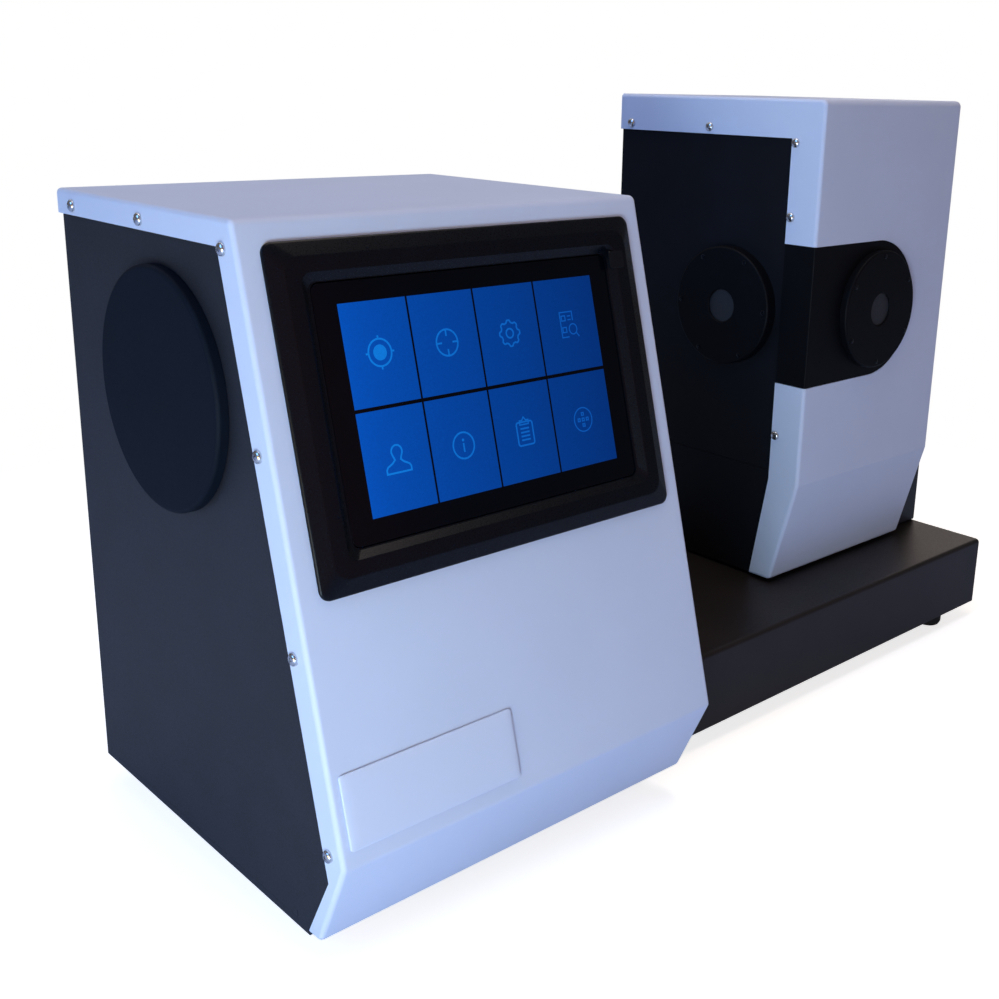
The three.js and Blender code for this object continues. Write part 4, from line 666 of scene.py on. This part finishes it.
def finish_piece(piece, slot, nodes=(), body="housing", skin=None):
    """Into the frame, smooth with true flats, with its finish and body."""
    piece.data.transform(PLACE)
    piece.data.materials.clear()
    piece.data.materials.append(MATERIALS[skin or slot])
    piece.data.shade_smooth()
    piece.data.set_sharp_from_angle(angle=SHARP_ANGLE)
    flats = piece.modifiers.new("flats", "WEIGHTED_NORMAL")
    flats.keep_sharp = True
    flats.weight = FLAT_WEIGHT
    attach(piece, body)
    if nodes:
        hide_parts(*nodes)


def block(x0, x1, y0, y1, z0, z1, matrix=None):
    """A cutter in the form of a box."""
    corners = [(x1, y0), (x1, y1), (x0, y1), (x0, y0)]
    rings = [[Vector((x, y, z)) for x, y in corners] for z in (z0, z1)]
    return make_piece("cutter", *loft(rings), matrix)


def prism(name, corners, radii, x0, x1, bend=0, matrix=None):
    """A side outline of (depth, height) corners pushed from x0 to x1, its two rims rounded."""
    steps = BEND_STEPS if bend else 0
    rings = []
    for step in range(steps + 1):
        turn = math.pi / 2 * step / max(steps, 1)
        inset = bend * (1 - math.sin(turn))
        place = bend * (1 - math.cos(turn))
        radii_in = [None if r is None else max(r - inset, LEAST_RADIUS) for r in radii]
        rings.append((place, rounded(inset_corners(corners, inset), radii_in)))
    layers = [(x0 + place, outline) for place, outline in rings]
    layers += [(x1 - place, outline) for place, outline in reversed(rings)]
    solid = [[Vector((x, -p.x, p.y)) for p in outline] for x, outline in layers]
    return make_piece(name, *loft(solid), matrix)


# Folded housings
def housing(low, high, **sizes):
    """Place and sizes of a folded housing, from its box and what its box doesn't give."""
    return SimpleNamespace(left=low.x, bottom=low.z, width=high.x - low.x,
                           height=high.z - low.z, crease_depth=-low.y, **sizes)


CONSOLE = housing(
    console_low, console_high, top_depth=CONSOLE_TOP_DEPTH, toe_depth=CONSOLE_TOE_DEPTH,
    crease_height=CONSOLE_CREASE_HEIGHT, lip_top=CONSOLE_LIP_TOP, lip_front=CONSOLE_LIP_FRONT,
    lip_toe=CONSOLE_LIP_TOE, lip_crease_drop=CONSOLE_LIP_CREASE_DROP,
    toe_return=CONSOLE_TOE_DEPTH + base_low.y - FIT,
)
TOWER = housing(
    tower_low, tower_high, top_depth=-tower_low.y, toe_depth=TOWER_TOE_DEPTH,
    crease_height=TOWER_CREASE_HEIGHT, lip_top=TOWER_LIP_TOP, lip_front=TOWER_LIP_FRONT,
    lip_toe=TOWER_LIP_TOE, lip_crease_drop=0, toe_return=TOWER_LIP_TOE / 2,
)


def housing_corners(h):
    """The side outline, clockwise in (depth, height), run on behind the back plane."""
    return [
        Vector((-OVERRUN, h.height)), Vector((h.top_depth, h.height)),
        Vector((h.crease_depth, h.crease_height)), Vector((h.toe_depth, 0)),
        Vector((-OVERRUN, 0)),
    ]


def window_corners(h):
    """The opening inside the side lips."""
    slope = (h.crease_depth - h.top_depth) / (h.height - h.crease_height)
    along = h.lip_front / math.cos(math.atan(slope))
    crease = h.crease_height - h.lip_crease_drop
    top = h.height - h.lip_top
    toe = h.toe_depth - h.lip_toe

    def front_at(level):
        return h.top_depth + (h.height - level) * slope - along

    toe_slope = (front_at(crease) - toe) / crease
    return [
        Vector((-2 * OVERRUN, top)), Vector((front_at(top), top)),
        Vector((front_at(crease), crease)), Vector((toe - toe_slope * OVERRUN, -OVERRUN)),
        Vector((-2 * OVERRUN, -OVERRUN)),
    ]


def folded_cover(name, h, more_cuts):
    bends = [None, FRONT_BEND, FRONT_BEND, FRONT_BEND, None]
    inner_bends = [None if bend is None else bend - SHEET for bend in bends]
    plain = [None] * len(bends)
    rise = Matrix.Translation((h.left, 0, h.bottom))
    width = h.width
    cover = prism(name, housing_corners(h), bends, 0, width, SIDE_BEND, rise)
    inner = inset_corners(housing_corners(h), SHEET)
    for corner in (inner[0], inner[-1]):
        corner.x = -2 * OVERRUN
    window = window_corners(h)
    cuts = [
        prism("cutter", inner, inner_bends, SHEET, width - SHEET, 0, rise),
        prism("cutter", window, plain, -OVERRUN, 2 * SHEET, 0, rise),
        prism("cutter", window, plain, width - 2 * SHEET, width + OVERRUN, 0, rise),
        block(-OVERRUN, width + OVERRUN, 0, 2 * OVERRUN, -OVERRUN, h.height + OVERRUN, rise),
        block(SHEET, width - SHEET, h.toe_return - h.toe_depth, OVERRUN,
              -OVERRUN, 2 * SHEET, rise),
    ]
    return carve(cover, cuts + more_cuts)


# Flat coordinates on the slanting front: x across from its middle, y up from the bezel's middle
FACE = (
    Matrix.Translation((console_low.x + CONSOLE.width / 2, -CONSOLE_TOP_DEPTH, console_high.z))
    @ Matrix.Rotation(math.pi / 2 - FRONT_LEAN, 4, "X")
    @ Matrix.Translation((0, -BEZEL_MIDDLE, 0))
)


def face_point(across, down, lift=0):
    """Flat coordinates of a place given from the console's left and down from its top edge."""
    return Vector((across - CONSOLE.width / 2, BEZEL_MIDDLE - down, lift))


def make_console_cover():
    width, height = (extent + 2 * SLEEVE_WALL + 2 * FIT for extent in GLASS_SIZE)
    opening = block(-width / 2, width / 2, -height / 2, height / 2, -2 * OVERRUN, OVERRUN, FACE)
    cover = folded_cover("cover_console", CONSOLE, [opening])
    finish_piece(cover, "white_paint", ["console_cover"])


def make_panel_skirt():
    """The left panel's lower edge, past the toe return and over the base's flank."""
    low, high = design_box("console_left_panel")
    foot = SKIRT_LEVEL - low.z
    head = 2 * SHEET
    _, _, crease, toe, _ = window_corners(CONSOLE)
    slope = (crease.x - toe.x) / (crease.y - toe.y)
    front = toe.x - toe.y * slope - FIT
    back = -base_low.y + FIT
    corners = [
        Vector((0, foot)), Vector((0, -SKIRT_GAP)), Vector((back, -SKIRT_GAP)),
        Vector((back, head)), Vector((front + head * slope, head)), Vector((front, 0)),
        Vector((front + foot * slope, foot)),
    ]
    skirt = prism("panel_left_skirt", corners, [None] * len(corners), low.x,
                  high.x - SKIRT_THINNER, 0, Matrix.Translation((0, 0, low.z)))
    finish_piece(skirt, "black_panel")


def band_outline(half):
    """The band in (x, height) from the tower's left, round over the port; clockwise."""
    reach = centre_of("comp_port_disc").x - TOWER.left
    points = [Vector((-OVERRUN, -half)), Vector((-OVERRUN, half))]
    steps = ROUND_SIDES // 2
    for step in range(steps + 1):
        turn = math.pi / 2 - math.pi * step / steps
        points.append(Vector((reach + half * math.cos(turn), half * math.sin(turn))))
    return points


def band_prism(half, beyond=0):
    """A cutter in the band's outline, over the tower's front and its left lip."""
    back = TOWER_LIP_FRONT - TOWER.crease_depth + beyond
    outline = list(reversed(band_outline(half)))
    rings = []
    for y in (back, -TOWER.crease_depth - OVERRUN):
        rings.append([Vector((TOWER.left + p.x, y, beam.z + p.y)) for p in outline])
    return make_piece("cutter", *loft(rings))


def make_tower_cover():
    cover = folded_cover("cover_tower", TOWER, [band_prism(BAND_HALF_HEIGHT, BAND_CLEARANCE)])
    finish_piece(cover, "white_paint", ["tower_cover"])


def make_port_band():
    """A plate folded round the tower's corner that fills the slot in the cover."""
    half = BAND_HALF_HEIGHT - FIT
    front = -TOWER.crease_depth
    side = front + TOWER_LIP_FRONT - FIT
    end = centre_of("comp_port_disc").x - TOWER.left + 2 * half
    fold = [
        Vector((0, side)), Vector((SHEET, side)), Vector((SHEET, front + SHEET)),
        Vector((end, front + SHEET)), Vector((end, front)), Vector((0, front)),
    ]
    outline = list(reversed(rounded(fold, [None] * (len(fold) - 1) + [BAND_FOLD])))
    rings = []
    for z in (beam.z - 2 * half, beam.z + 2 * half):
        rings.append([Vector((TOWER.left + p.x, p.y, z)) for p in outline])
    band = make_piece("band_port", *loft(rings))
    carve(band, [band_prism(half)], "INTERSECT")
    finish_piece(band, "black_panel", ["port_band"], skin="port_plastic")


# Base and the light trap's housing
def make_base():
    height = base_high.z - base_low.z
    corners = [
        Vector((0, -OVERRUN)), Vector((0, height)), Vector((-base_low.y, height)),
        Vector((-base_low.y, -OVERRUN)),
    ]
    rise = Matrix.Translation((0, 0, base_low.z))
    shell = prism("shell_base", corners, [BASE_EDGE, SHEET, BASE_FRONT_BEND, BASE_EDGE],
                  base_low.x, base_high.x, SHEET, rise)
    hollow = block(base_low.x + SHEET, base_high.x - SHEET, base_low.y + SHEET, -SHEET,
                   -2 * OVERRUN, height - SHEET, rise)
    below = block(base_low.x - OVERRUN, base_high.x + OVERRUN, base_low.y - OVERRUN, OVERRUN,
                  -2 * OVERRUN, 0, rise)
    carve(shell, [hollow, below])
    finish_piece(shell, "base_paint", ["base_shell"])


def make_trap_housing():
    low, high = design_box("trap_housing")
    corners = [
        Vector((-high.y, low.z)), Vector((-high.y, high.z)),
        Vector((-low.y, high.z)), Vector((-low.y, low.z)),
    ]
    shell = prism("housing_trap", corners, [TRAP_BEND] * len(corners), low.x - OVERRUN, high.x,
                  TRAP_BEND)
    inside = block(low.x - 2 * OVERRUN, high.x - SHEET, low.y + SHEET, high.y - SHEET,
                   low.z + SHEET, high.z - SHEET)
    start = block(low.x - 2 * OVERRUN, low.x, low.y - OVERRUN, high.y + OVERRUN,
                  low.z - OVERRUN, high.z + OVERRUN)
    carve(shell, [inside, start])
    finish_piece(shell, "black_panel", ["trap_housing"])


# Screws
def cross_cutter(radius, height, matrix):
    """A cross recess that narrows downwards."""
    size = radius / HEAD_RADIUS
    floor = (CROSS_FLOOR_SHARE, height - CROSS_DEPTH * size)
    mouth = (CROSS_MOUTH_SHARE, height + CROSS_OVERRUN)
    rings = []
    for share, level in (floor, mouth):
        w = CROSS_WIDTH / 2 * size * share
        r = CROSS_REACH * size * share
        ring = []
        for turn in range(4):
            spin = Matrix.Rotation(-math.pi / 2 * turn, 2)
            for point in (Vector((w, r)), Vector((w, w)), Vector((r, w))):
                ring.append(Vector((*(spin @ point), level)))
        rings.append(list(reversed(ring)))
    return make_piece("cutter", *loft(rings), matrix)


def make_screw_head(name, radius, height, matrix):
    """A pan head seated at z = 0 of its matrix, with a cross recess turned at random."""
    matrix = matrix @ Matrix.Rotation(random.uniform(0, math.pi / 2), 4, "Z")
    rim = height * HEAD_RIM / HEAD_HEIGHT
    profile = [(0, height)]
    for step in range(RIM_STEPS, 0, -1):
        turn = math.pi / 2 * step / RIM_STEPS
        share = HEAD_FLAT_SHARE + (1 - HEAD_FLAT_SHARE) * math.cos(turn)
        profile.append((radius * share, rim + (height - rim) * math.sin(turn)))
    profile += [(radius, rim), (radius, 0), (0, 0)]
    head = make_piece(name, *turned(profile, HEAD_SIDES), matrix)
    return carve(head, [cross_cutter(radius, height, matrix)])


def make_side_screws():
    """Pan heads on both lips of a housing, at the place of each screw of the frame."""
    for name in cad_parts:
        if "_screw_" not in name:
            continue
        spot = centre_of(name)
        h = CONSOLE if name.startswith("console") else TOWER
        sides = [("_head", h.left, TO_LEFT, [name]), ("_right", h.left + h.width, TO_RIGHT, [])]
        for ending, x, turn, nodes in sides:
            seat = Matrix.Translation((x, spot.y, spot.z)) @ turn
            head = make_screw_head(name + ending, HEAD_RADIUS, HEAD_HEIGHT, seat)
            finish_piece(head, "screw_steel", nodes)


# Round pieces
def round_box(name):
    """Corners, middle and radius of a round node whose axis is level."""
    low, high = design_box(name)
    return low, high, (low + high) / 2, (high.z - low.z) / 2


def make_lid():
    low, high, middle, radius = round_box("lamp_bay_lid")
    thickness = SHEET - low.x - FIT
    back = SHEET - high.x
    bore = SPIGOT_RADIUS - SPIGOT_WALL
    profile = [(0, thickness)]
    profile += rounding(radius, thickness, LID_EDGE)
    profile += [(radius, 0), (SPIGOT_RADIUS, 0), (SPIGOT_RADIUS, back), (bore, back), (bore, 0),
                (0, 0)]
    seat = Matrix.Translation((SHEET, middle.y, middle.z))
    lid = make_piece("lid_lamp_bay", *turned(profile), seat @ TO_LEFT)
    finish_piece(lid, "black_plastic", ["lamp_bay_lid"], body="lid", skin="dull_plastic")


def disc_profile(radius, thickness):
    """A disc with an open aperture whose lip holds a dark disc of painted shade."""
    wide = APERTURE_RADIUS + APERTURE_STEP
    lip = thickness - APERTURE_LIP
    profile = [(wide, 0), (wide, lip), (APERTURE_RADIUS, lip),
               (APERTURE_RADIUS, thickness - APERTURE_FLARE),
               (APERTURE_RADIUS + APERTURE_FLARE, thickness)]
    profile += rounding(radius, thickness, DISC_EDGE)
    profile += [(radius, 0), (wide, 0)]
    return profile


def make_port_shade_disc(name, thickness, matrix):
    """A dark disc behind the aperture's lip, in a glass finish: painted shade for the sphere's dim
    inside seen through the port.
    """
    radius = APERTURE_RADIUS + APERTURE_STEP - FIT
    front = thickness - APERTURE_LIP - SHADE_DISC_GAP
    profile = [(0, front), (radius - FIT, front), (radius, front - FIT),
               (radius, front - SHADE_DISC_THICKNESS), (0, front - SHADE_DISC_THICKNESS)]
    shade_disc = make_piece(name, *turned(profile), matrix)
    finish_piece(shade_disc, "screen_glass", skin="port_pane")


def make_port_disc(name, cad_name, turn, along):
    """A disc on the given axis of design space, with its dark disc of painted shade and its ring of
    screws.
    """
    low, high, seat, radius = round_box(cad_name)
    seat[along] = high[along]
    thickness = high[along] - low[along]
    matrix = Matrix.Translation(seat) @ turn
    disc = make_piece(name, *turned(disc_profile(radius, thickness)), matrix)
    finish_piece(disc, "black_gloss", [cad_name], skin="port_plastic")
    # A dark disc of painted shade fills the aperture, in place of the sphere's dim inside
    make_port_shade_disc(name + "_pane", thickness, matrix)
    for i in range(DISC_SCREW_COUNT):
        angle = math.pi / 2 + 2 * math.pi * i / DISC_SCREW_COUNT
        spot = Vector((math.cos(angle), math.sin(angle), 0)) * radius * DISC_SCREW_SHARE
        spot.z = thickness
        head = make_screw_head(f"{name}_screw_{i + 1}", DISC_SCREW_RADIUS, DISC_SCREW_HEIGHT,
                               matrix @ Matrix.Translation(spot))
        finish_piece(head, "black_gloss")


def make_exit_collar():
    low, high, middle, radius = round_box("exit_collar")
    thickness = high.x - low.x
    profile = [(COLLAR_BORE, 0), (COLLAR_BORE, thickness - SHEET),
               (EXIT_RADIUS, thickness - SHEET), (EXIT_RADIUS, thickness)]
    profile += rounding(radius, thickness, DISC_EDGE)
    profile += [(radius, 0), (COLLAR_BORE, 0)]
    seat = Matrix.Translation((low.x, middle.y, middle.z))
    collar = make_piece("collar_exit", *turned(profile), seat @ TO_RIGHT)
    finish_piece(collar, "black_plastic", ["exit_collar"])


def make_feet():
    for name in ("foot_front_left", "foot_front_right", "foot_rear_left", "foot_rear_right"):
        low, high = design_box(name)
        middle = (low + high) / 2
        radius = (high.x - low.x) / 2
        height = base_low.z - low.z - FIT
        starts = {"rim": radius, "tip": radius * FOOT_TIP_SHARE, "middle": 0}
        profile = [(0, height), (radius, height)]
        profile += [(starts[start] + run, rise) for start, run, rise in FOOT_PROFILE]
        seat = Matrix.Translation((middle.x, middle.y, low.z))
        foot = make_piece(name + "_cap", *turned(profile, FOOT_SIDES), seat)
        finish_piece(foot, "rubber", [name])


# Display and badge
def make_bezel():
    """A frame with a soft-edged bevel outside and a plain chamfered step down to the glass."""
    rings = [plate_ring(BEZEL_SIZE, BEZEL_CORNER, FIT)]
    for run_share, rise_share in BEVEL_SHARES:
        run = BEVEL_RUN * run_share
        rise = BEZEL_SKIRT + (BEZEL_PROUD - BEZEL_SKIRT) * rise_share
        rings.append(plate_ring(BEZEL_SIZE, BEZEL_CORNER + run * BEVEL_CORNER_GROWTH, rise, run))
    step = GLASS_PROUD + FIT
    rings += [
        plate_ring(LAND_SIZE, LAND_CORNER, BEZEL_PROUD, -LAND_EDGE_RUN),
        plate_ring(LAND_SIZE, LAND_CORNER, BEZEL_PROUD - LAND_EDGE_DROP),
        plate_ring(LAND_SIZE, LAND_CORNER, step + STEP_EDGE_RISE, STEP_RUN),
        plate_ring(LAND_SIZE, LAND_CORNER, step, STEP_RUN + STEP_EDGE_RUN),
        plate_ring(GLASS_SIZE, GLASS_CORNER, step, -FIT),
        plate_ring(GLASS_SIZE, GLASS_CORNER, -SLEEVE_DEPTH, -FIT),
        plate_ring(GLASS_SIZE, GLASS_CORNER, -SLEEVE_DEPTH, -SLEEVE_WALL),
        plate_ring(GLASS_SIZE, GLASS_CORNER, FIT, -SLEEVE_WALL),
    ]
    bezel = make_piece("bezel_display", *loft(rings, joined=True), FACE)
    finish_piece(bezel, "black_gloss", ["display_bezel"])


def make_glass():
    edge = GLASS_EDGE
    rings = [
        plate_ring(GLASS_SIZE, GLASS_CORNER, GLASS_PROUD - GLASS_THICKNESS),
        plate_ring(GLASS_SIZE, GLASS_CORNER, GLASS_PROUD - edge),
        plate_ring(GLASS_SIZE, GLASS_CORNER - edge / 2, GLASS_PROUD - edge / 4, edge / 2),
        plate_ring(GLASS_SIZE, GLASS_CORNER - edge, GLASS_PROUD, edge),
    ]
    touch = make_piece("glass_display", *loft(rings), FACE)
    finish_piece(touch, "screen_glass", ["display_glass"])


def make_film_tab():
    middle = face_point(TAB_LEFT + TAB_SIZE[0] / 2, TAB_TOP + TAB_SIZE[1] / 2, BEZEL_PROUD)
    lip = TAB_THICKNESS / 2
    rings = [
        plate_ring(TAB_SIZE, TAB_CORNER, 0),
        plate_ring(TAB_SIZE, TAB_CORNER, lip),
        plate_ring(TAB_SIZE, TAB_CORNER - lip, TAB_THICKNESS, lip),
    ]
    tab = make_piece("film_tab", *loft(rings), FACE @ Matrix.Translation(middle))
    finish_piece(tab, "screen_glass", skin="film")


def make_badge():
    middle = face_point(BADGE_LEFT_MARGIN + BADGE_SIZE[0] / 2, BADGE_TOP_MARGIN + BADGE_SIZE[1] / 2)
    rings = [plate_ring(BADGE_SIZE, BADGE_CORNER, FIT)]
    for step in range(DOME_STEPS + 1):
        turn = math.pi / 2 * step / DOME_STEPS
        run = DOME_RUN * (1 - math.cos(turn)) ** DOME_POWER
        level = FIT + BADGE_RIM + (BADGE_THICKNESS - BADGE_RIM) * math.sin(turn)
        rings.append(plate_ring(BADGE_SIZE, BADGE_CORNER, level, run))
    badge = make_piece("plate_badge", *loft(rings), FACE @ Matrix.Translation(middle))
    finish_piece(badge, "badge", ["badge_plate"])


# Lit screen
def merged(parts):
    """Vertices and faces of several parts as one mesh."""
    vertices, faces = [], []
    for part_vertices, part_faces in parts:
        start = len(vertices)
        vertices += part_vertices
        faces += [tuple(i + start for i in face) for face in part_faces]
    return vertices, faces


def plate(points, low, high):
    """A flat plate over a clockwise outline."""
    return loft([[Vector((p[0], p[1], level)) for p in reversed(points)] for level in (low, high)])


def stroke(points, weight, closed=False):
    """A line of even width along points given in shares of the drawings' radius."""
    points = [Vector(p) * ICON_RADIUS for p in points]
    count = len(points)
    rings = []
    for i, point in enumerate(points):
        runs = []
        if closed or i:
            runs.append((point - points[i - 1]).normalized())
        if closed or i < count - 1:
            runs.append((points[(i + 1) % count] - point).normalized())
        mean = sum(runs, Vector((0, 0))).normalized()
        reach = ICON_LINE * weight / 2 / max(mean.dot(runs[0]), LEAST_MITRE)
        side = Vector((-mean.y, mean.x)) * reach
        left, right = point + side, point - side
        rings.append([Vector((*left, 0)), Vector((*left, ICON_THICKNESS)),
                      Vector((*right, ICON_THICKNESS)), Vector((*right, 0))])
    return loft(rings, joined=closed)


def arc(radius, x=0, y=0, span=FULL_TURN, steps=ARC_STEPS):
    """Points from one angle to another, in degrees; a full turn leaves the last one out."""
    start, end = (math.radians(angle) for angle in span)
    points = []
    for step in range(steps if span == FULL_TURN else steps + 1):
        angle = start + (end - start) * step / steps
        points.append((x + radius * math.cos(angle), y + radius * math.sin(angle)))
    return points


def draw_mark(kind, weight, *shape):
    """The parts of one mark."""
    if kind == "ticks":
        inner, outer = shape
        ways = ((1, 0), (0, 1), (-1, 0), (0, -1))
        return [stroke([(x * inner, y * inner), (x * outer, y * outer)], weight) for x, y in ways]
    if kind == "dot":
        points = [Vector(p) * ICON_RADIUS for p in reversed(arc(*shape))]
        return [plate(points, 0, ICON_THICKNESS)]
    if kind == "line":
        return [stroke(shape, weight)]
    if kind == "ring":
        shape = arc(*shape)
    elif kind == "square":
        size, x, y = shape
        shape = [(x + a * size, y + b * size) for a, b in ((-1, -1), (-1, 1), (1, 1), (1, -1))]
    elif kind == "board":
        shape = rounded([Vector(p) for p in shape], [BOARD_CORNER] * len(shape))
    elif kind == "gear":
        mean, wave = shape
        count = GEAR_TEETH * GEAR_STEPS
        turns = [2 * math.pi * i / count for i in range(count)]
        reaches = [mean + wave * math.tanh(GEAR_FLANK * math.cos(GEAR_TEETH * t)) for t in turns]
        shape = [(r * math.cos(t), r * math.sin(t)) for r, t in zip(reaches, turns)]
    elif kind == "person":
        mirrored = [(-x, y) for x, y in reversed(SHOULDERS)]
        shape = arc(*shape, HEAD_ARC, HEAD_STEPS) + SHOULDERS + mirrored
    return [stroke(shape, weight, closed=True)]


def make_screen():
    """Lit tiles with a drawing on each, laid on the glass."""
    tiles, icons = [], []
    columns = [LIT_LEFT + LIT_WIDTH * share for share in COLUMN_SHARES]
    rows = [LIT_TOP + LIT_HEIGHT * share for share in ROW_SHARES]
    for row, line in enumerate(ICONS):
        for column, marks in enumerate(line):
            left = columns[column] + (COLUMN_GAP / 2 if column else 0)
            right = columns[column + 1] - (COLUMN_GAP / 2 if column < len(line) - 1 else 0)
            top = rows[row] + (ROW_GAP / 2 if row else 0)
            low = rows[row + 1] - (ROW_GAP / 2 if row < len(ICONS) - 1 else 0)
            corners = [face_point(left, low), face_point(left, top),
                       face_point(right, top), face_point(right, low)]
            tiles.append(plate(corners, GLASS_PROUD, GLASS_PROUD + TILE_THICKNESS))
            middle = face_point((left + right) / 2, (top + low) / 2, GLASS_PROUD)
            vertices, faces = merged(part for mark in marks for part in draw_mark(*mark))
            icons.append(([v + middle for v in vertices], faces))
    lit = make_piece("screen_tiles", *merged(tiles), FACE)
    finish_piece(lit, "screen_glass", skin="lit_tiles")
    drawn = make_piece("screen_icons", *merged(icons), FACE)
    finish_piece(drawn, "screen_glass", skin="lit_icons")


make_console_cover()
make_panel_skirt()
make_tower_cover()
make_port_band()
make_base()
make_trap_housing()
make_lid()
make_port_disc("disc_haze_port", "haze_port_disc", TO_LEFT, 0)
make_port_disc("disc_comp_port", "comp_port_disc", TO_FRONT, 1)
make_exit_collar()
make_feet()
make_side_screws()
make_bezel()
make_glass()
make_screen()
make_film_tab()
make_badge()
dress_nodes()


# Floor, room, light and camera
def mixed(tree, share, first, second):
    """Two shaders in one, with the second one's share given."""
    made = node(tree, "ShaderNodeMixShader", Fac=share)
    tree.links.new(first, made.inputs[1])
    tree.links.new(second, made.inputs[2])
    return made.outputs["Shader"]


def make_floor():
    """A pale floor that takes shadows and ends in plain white far from the object."""
    sides = ((-1, -1), (1, -1), (1, 1), (-1, 1))
    corners = [Vector((x * FLOOR_REACH, y * FLOOR_REACH, 0)) for x, y in sides]
    floor = make_piece("floor", corners, [tuple(range(len(corners)))], PLACE)
    material = bpy.data.materials.new("floor")
    material.use_nodes = True
    tree = material.node_tree
    tree.nodes.clear()
    matt = node(tree, "ShaderNodeBsdfDiffuse", Color=FLOOR_BOUNCE)
    seen = node(tree, "ShaderNodeBsdfDiffuse", Color=FLOOR_SEEN)
    bright = node(tree, "ShaderNodeEmission", Color=WHITE, Strength=FLOOR_GLOW)
    soft = node(tree, "ShaderNodeAddShader")
    tree.links.new(seen.outputs["BSDF"], soft.inputs[0])
    tree.links.new(bright.outputs["Emission"], soft.inputs[1])
    place = node(tree, "ShaderNodeTexCoord").outputs["Object"]
    away = node(tree, "ShaderNodeVectorMath", operation="LENGTH", Vector=place)
    share = ranged(tree, away.outputs["Value"], 0, 1, FLOOR_NEAR, FLOOR_FAR)
    plain = node(tree, "ShaderNodeEmission", Color=WHITE, Strength=1)
    fade = mixed(tree, share, soft.outputs["Shader"], plain.outputs["Emission"])
    direct = node(tree, "ShaderNodeLightPath").outputs["Is Camera Ray"]
    choice = mixed(tree, direct, matt.outputs["BSDF"], fade)
    node(tree, "ShaderNodeOutputMaterial", Surface=choice)
    floor.data.materials.append(material)


def make_world():
    world = bpy.data.worlds.new("studio")
    bpy.context.scene.world = world
    world.use_nodes = True
    tree = world.node_tree
    tree.nodes.clear()
    room = node(tree, "ShaderNodeBackground", Color=ROOM_COLOUR, Strength=ROOM_STRENGTH)
    white = node(tree, "ShaderNodeBackground", Color=WHITE, Strength=1)
    direct = node(tree, "ShaderNodeLightPath").outputs["Is Camera Ray"]
    choice = mixed(tree, direct, room.outputs["Background"], white.outputs["Background"])
    node(tree, "ShaderNodeOutputWorld", Surface=choice)


def make_lights():
    for name, place, target, size, power, colour in LIGHTS:
        data = bpy.data.lights.new(name, "AREA")
        data.shape = "DISK"
        data.size = size
        data.energy = power
        data.color = colour
        lamp = bpy.data.objects.new(name, data)
        lamp.location = place
        aim = Vector(target) - Vector(place)
        lamp.rotation_euler = aim.to_track_quat("-Z", "Y").to_euler()
        lamp.visible_camera = False
        bpy.context.scene.collection.objects.link(lamp)


def make_camera():
    data = bpy.data.cameras.new("camera")
    data.sensor_width = CAMERA_SENSOR
    data.lens = CAMERA_LENS
    data.shift_x = CAMERA_SHIFT_X
    data.shift_y = CAMERA_SHIFT_Y
    data.clip_start = CAMERA_NEAR
    camera = bpy.data.objects.new("camera", data)
    turn = (
        Matrix.Rotation(CAMERA_HEADING, 4, "Z")
        @ Matrix.Rotation(math.pi / 2 - CAMERA_DIP, 4, "X")
        @ Matrix.Rotation(CAMERA_ROLL, 4, "Z")
    )
    camera.matrix_world = Matrix.Translation(PLACE @ CAMERA_PLACE) @ turn
    bpy.context.scene.collection.objects.link(camera)
    bpy.context.scene.camera = camera


make_floor()
make_world()
make_lights()
make_camera()
bpy.context.scene.view_settings.view_transform = "Standard"
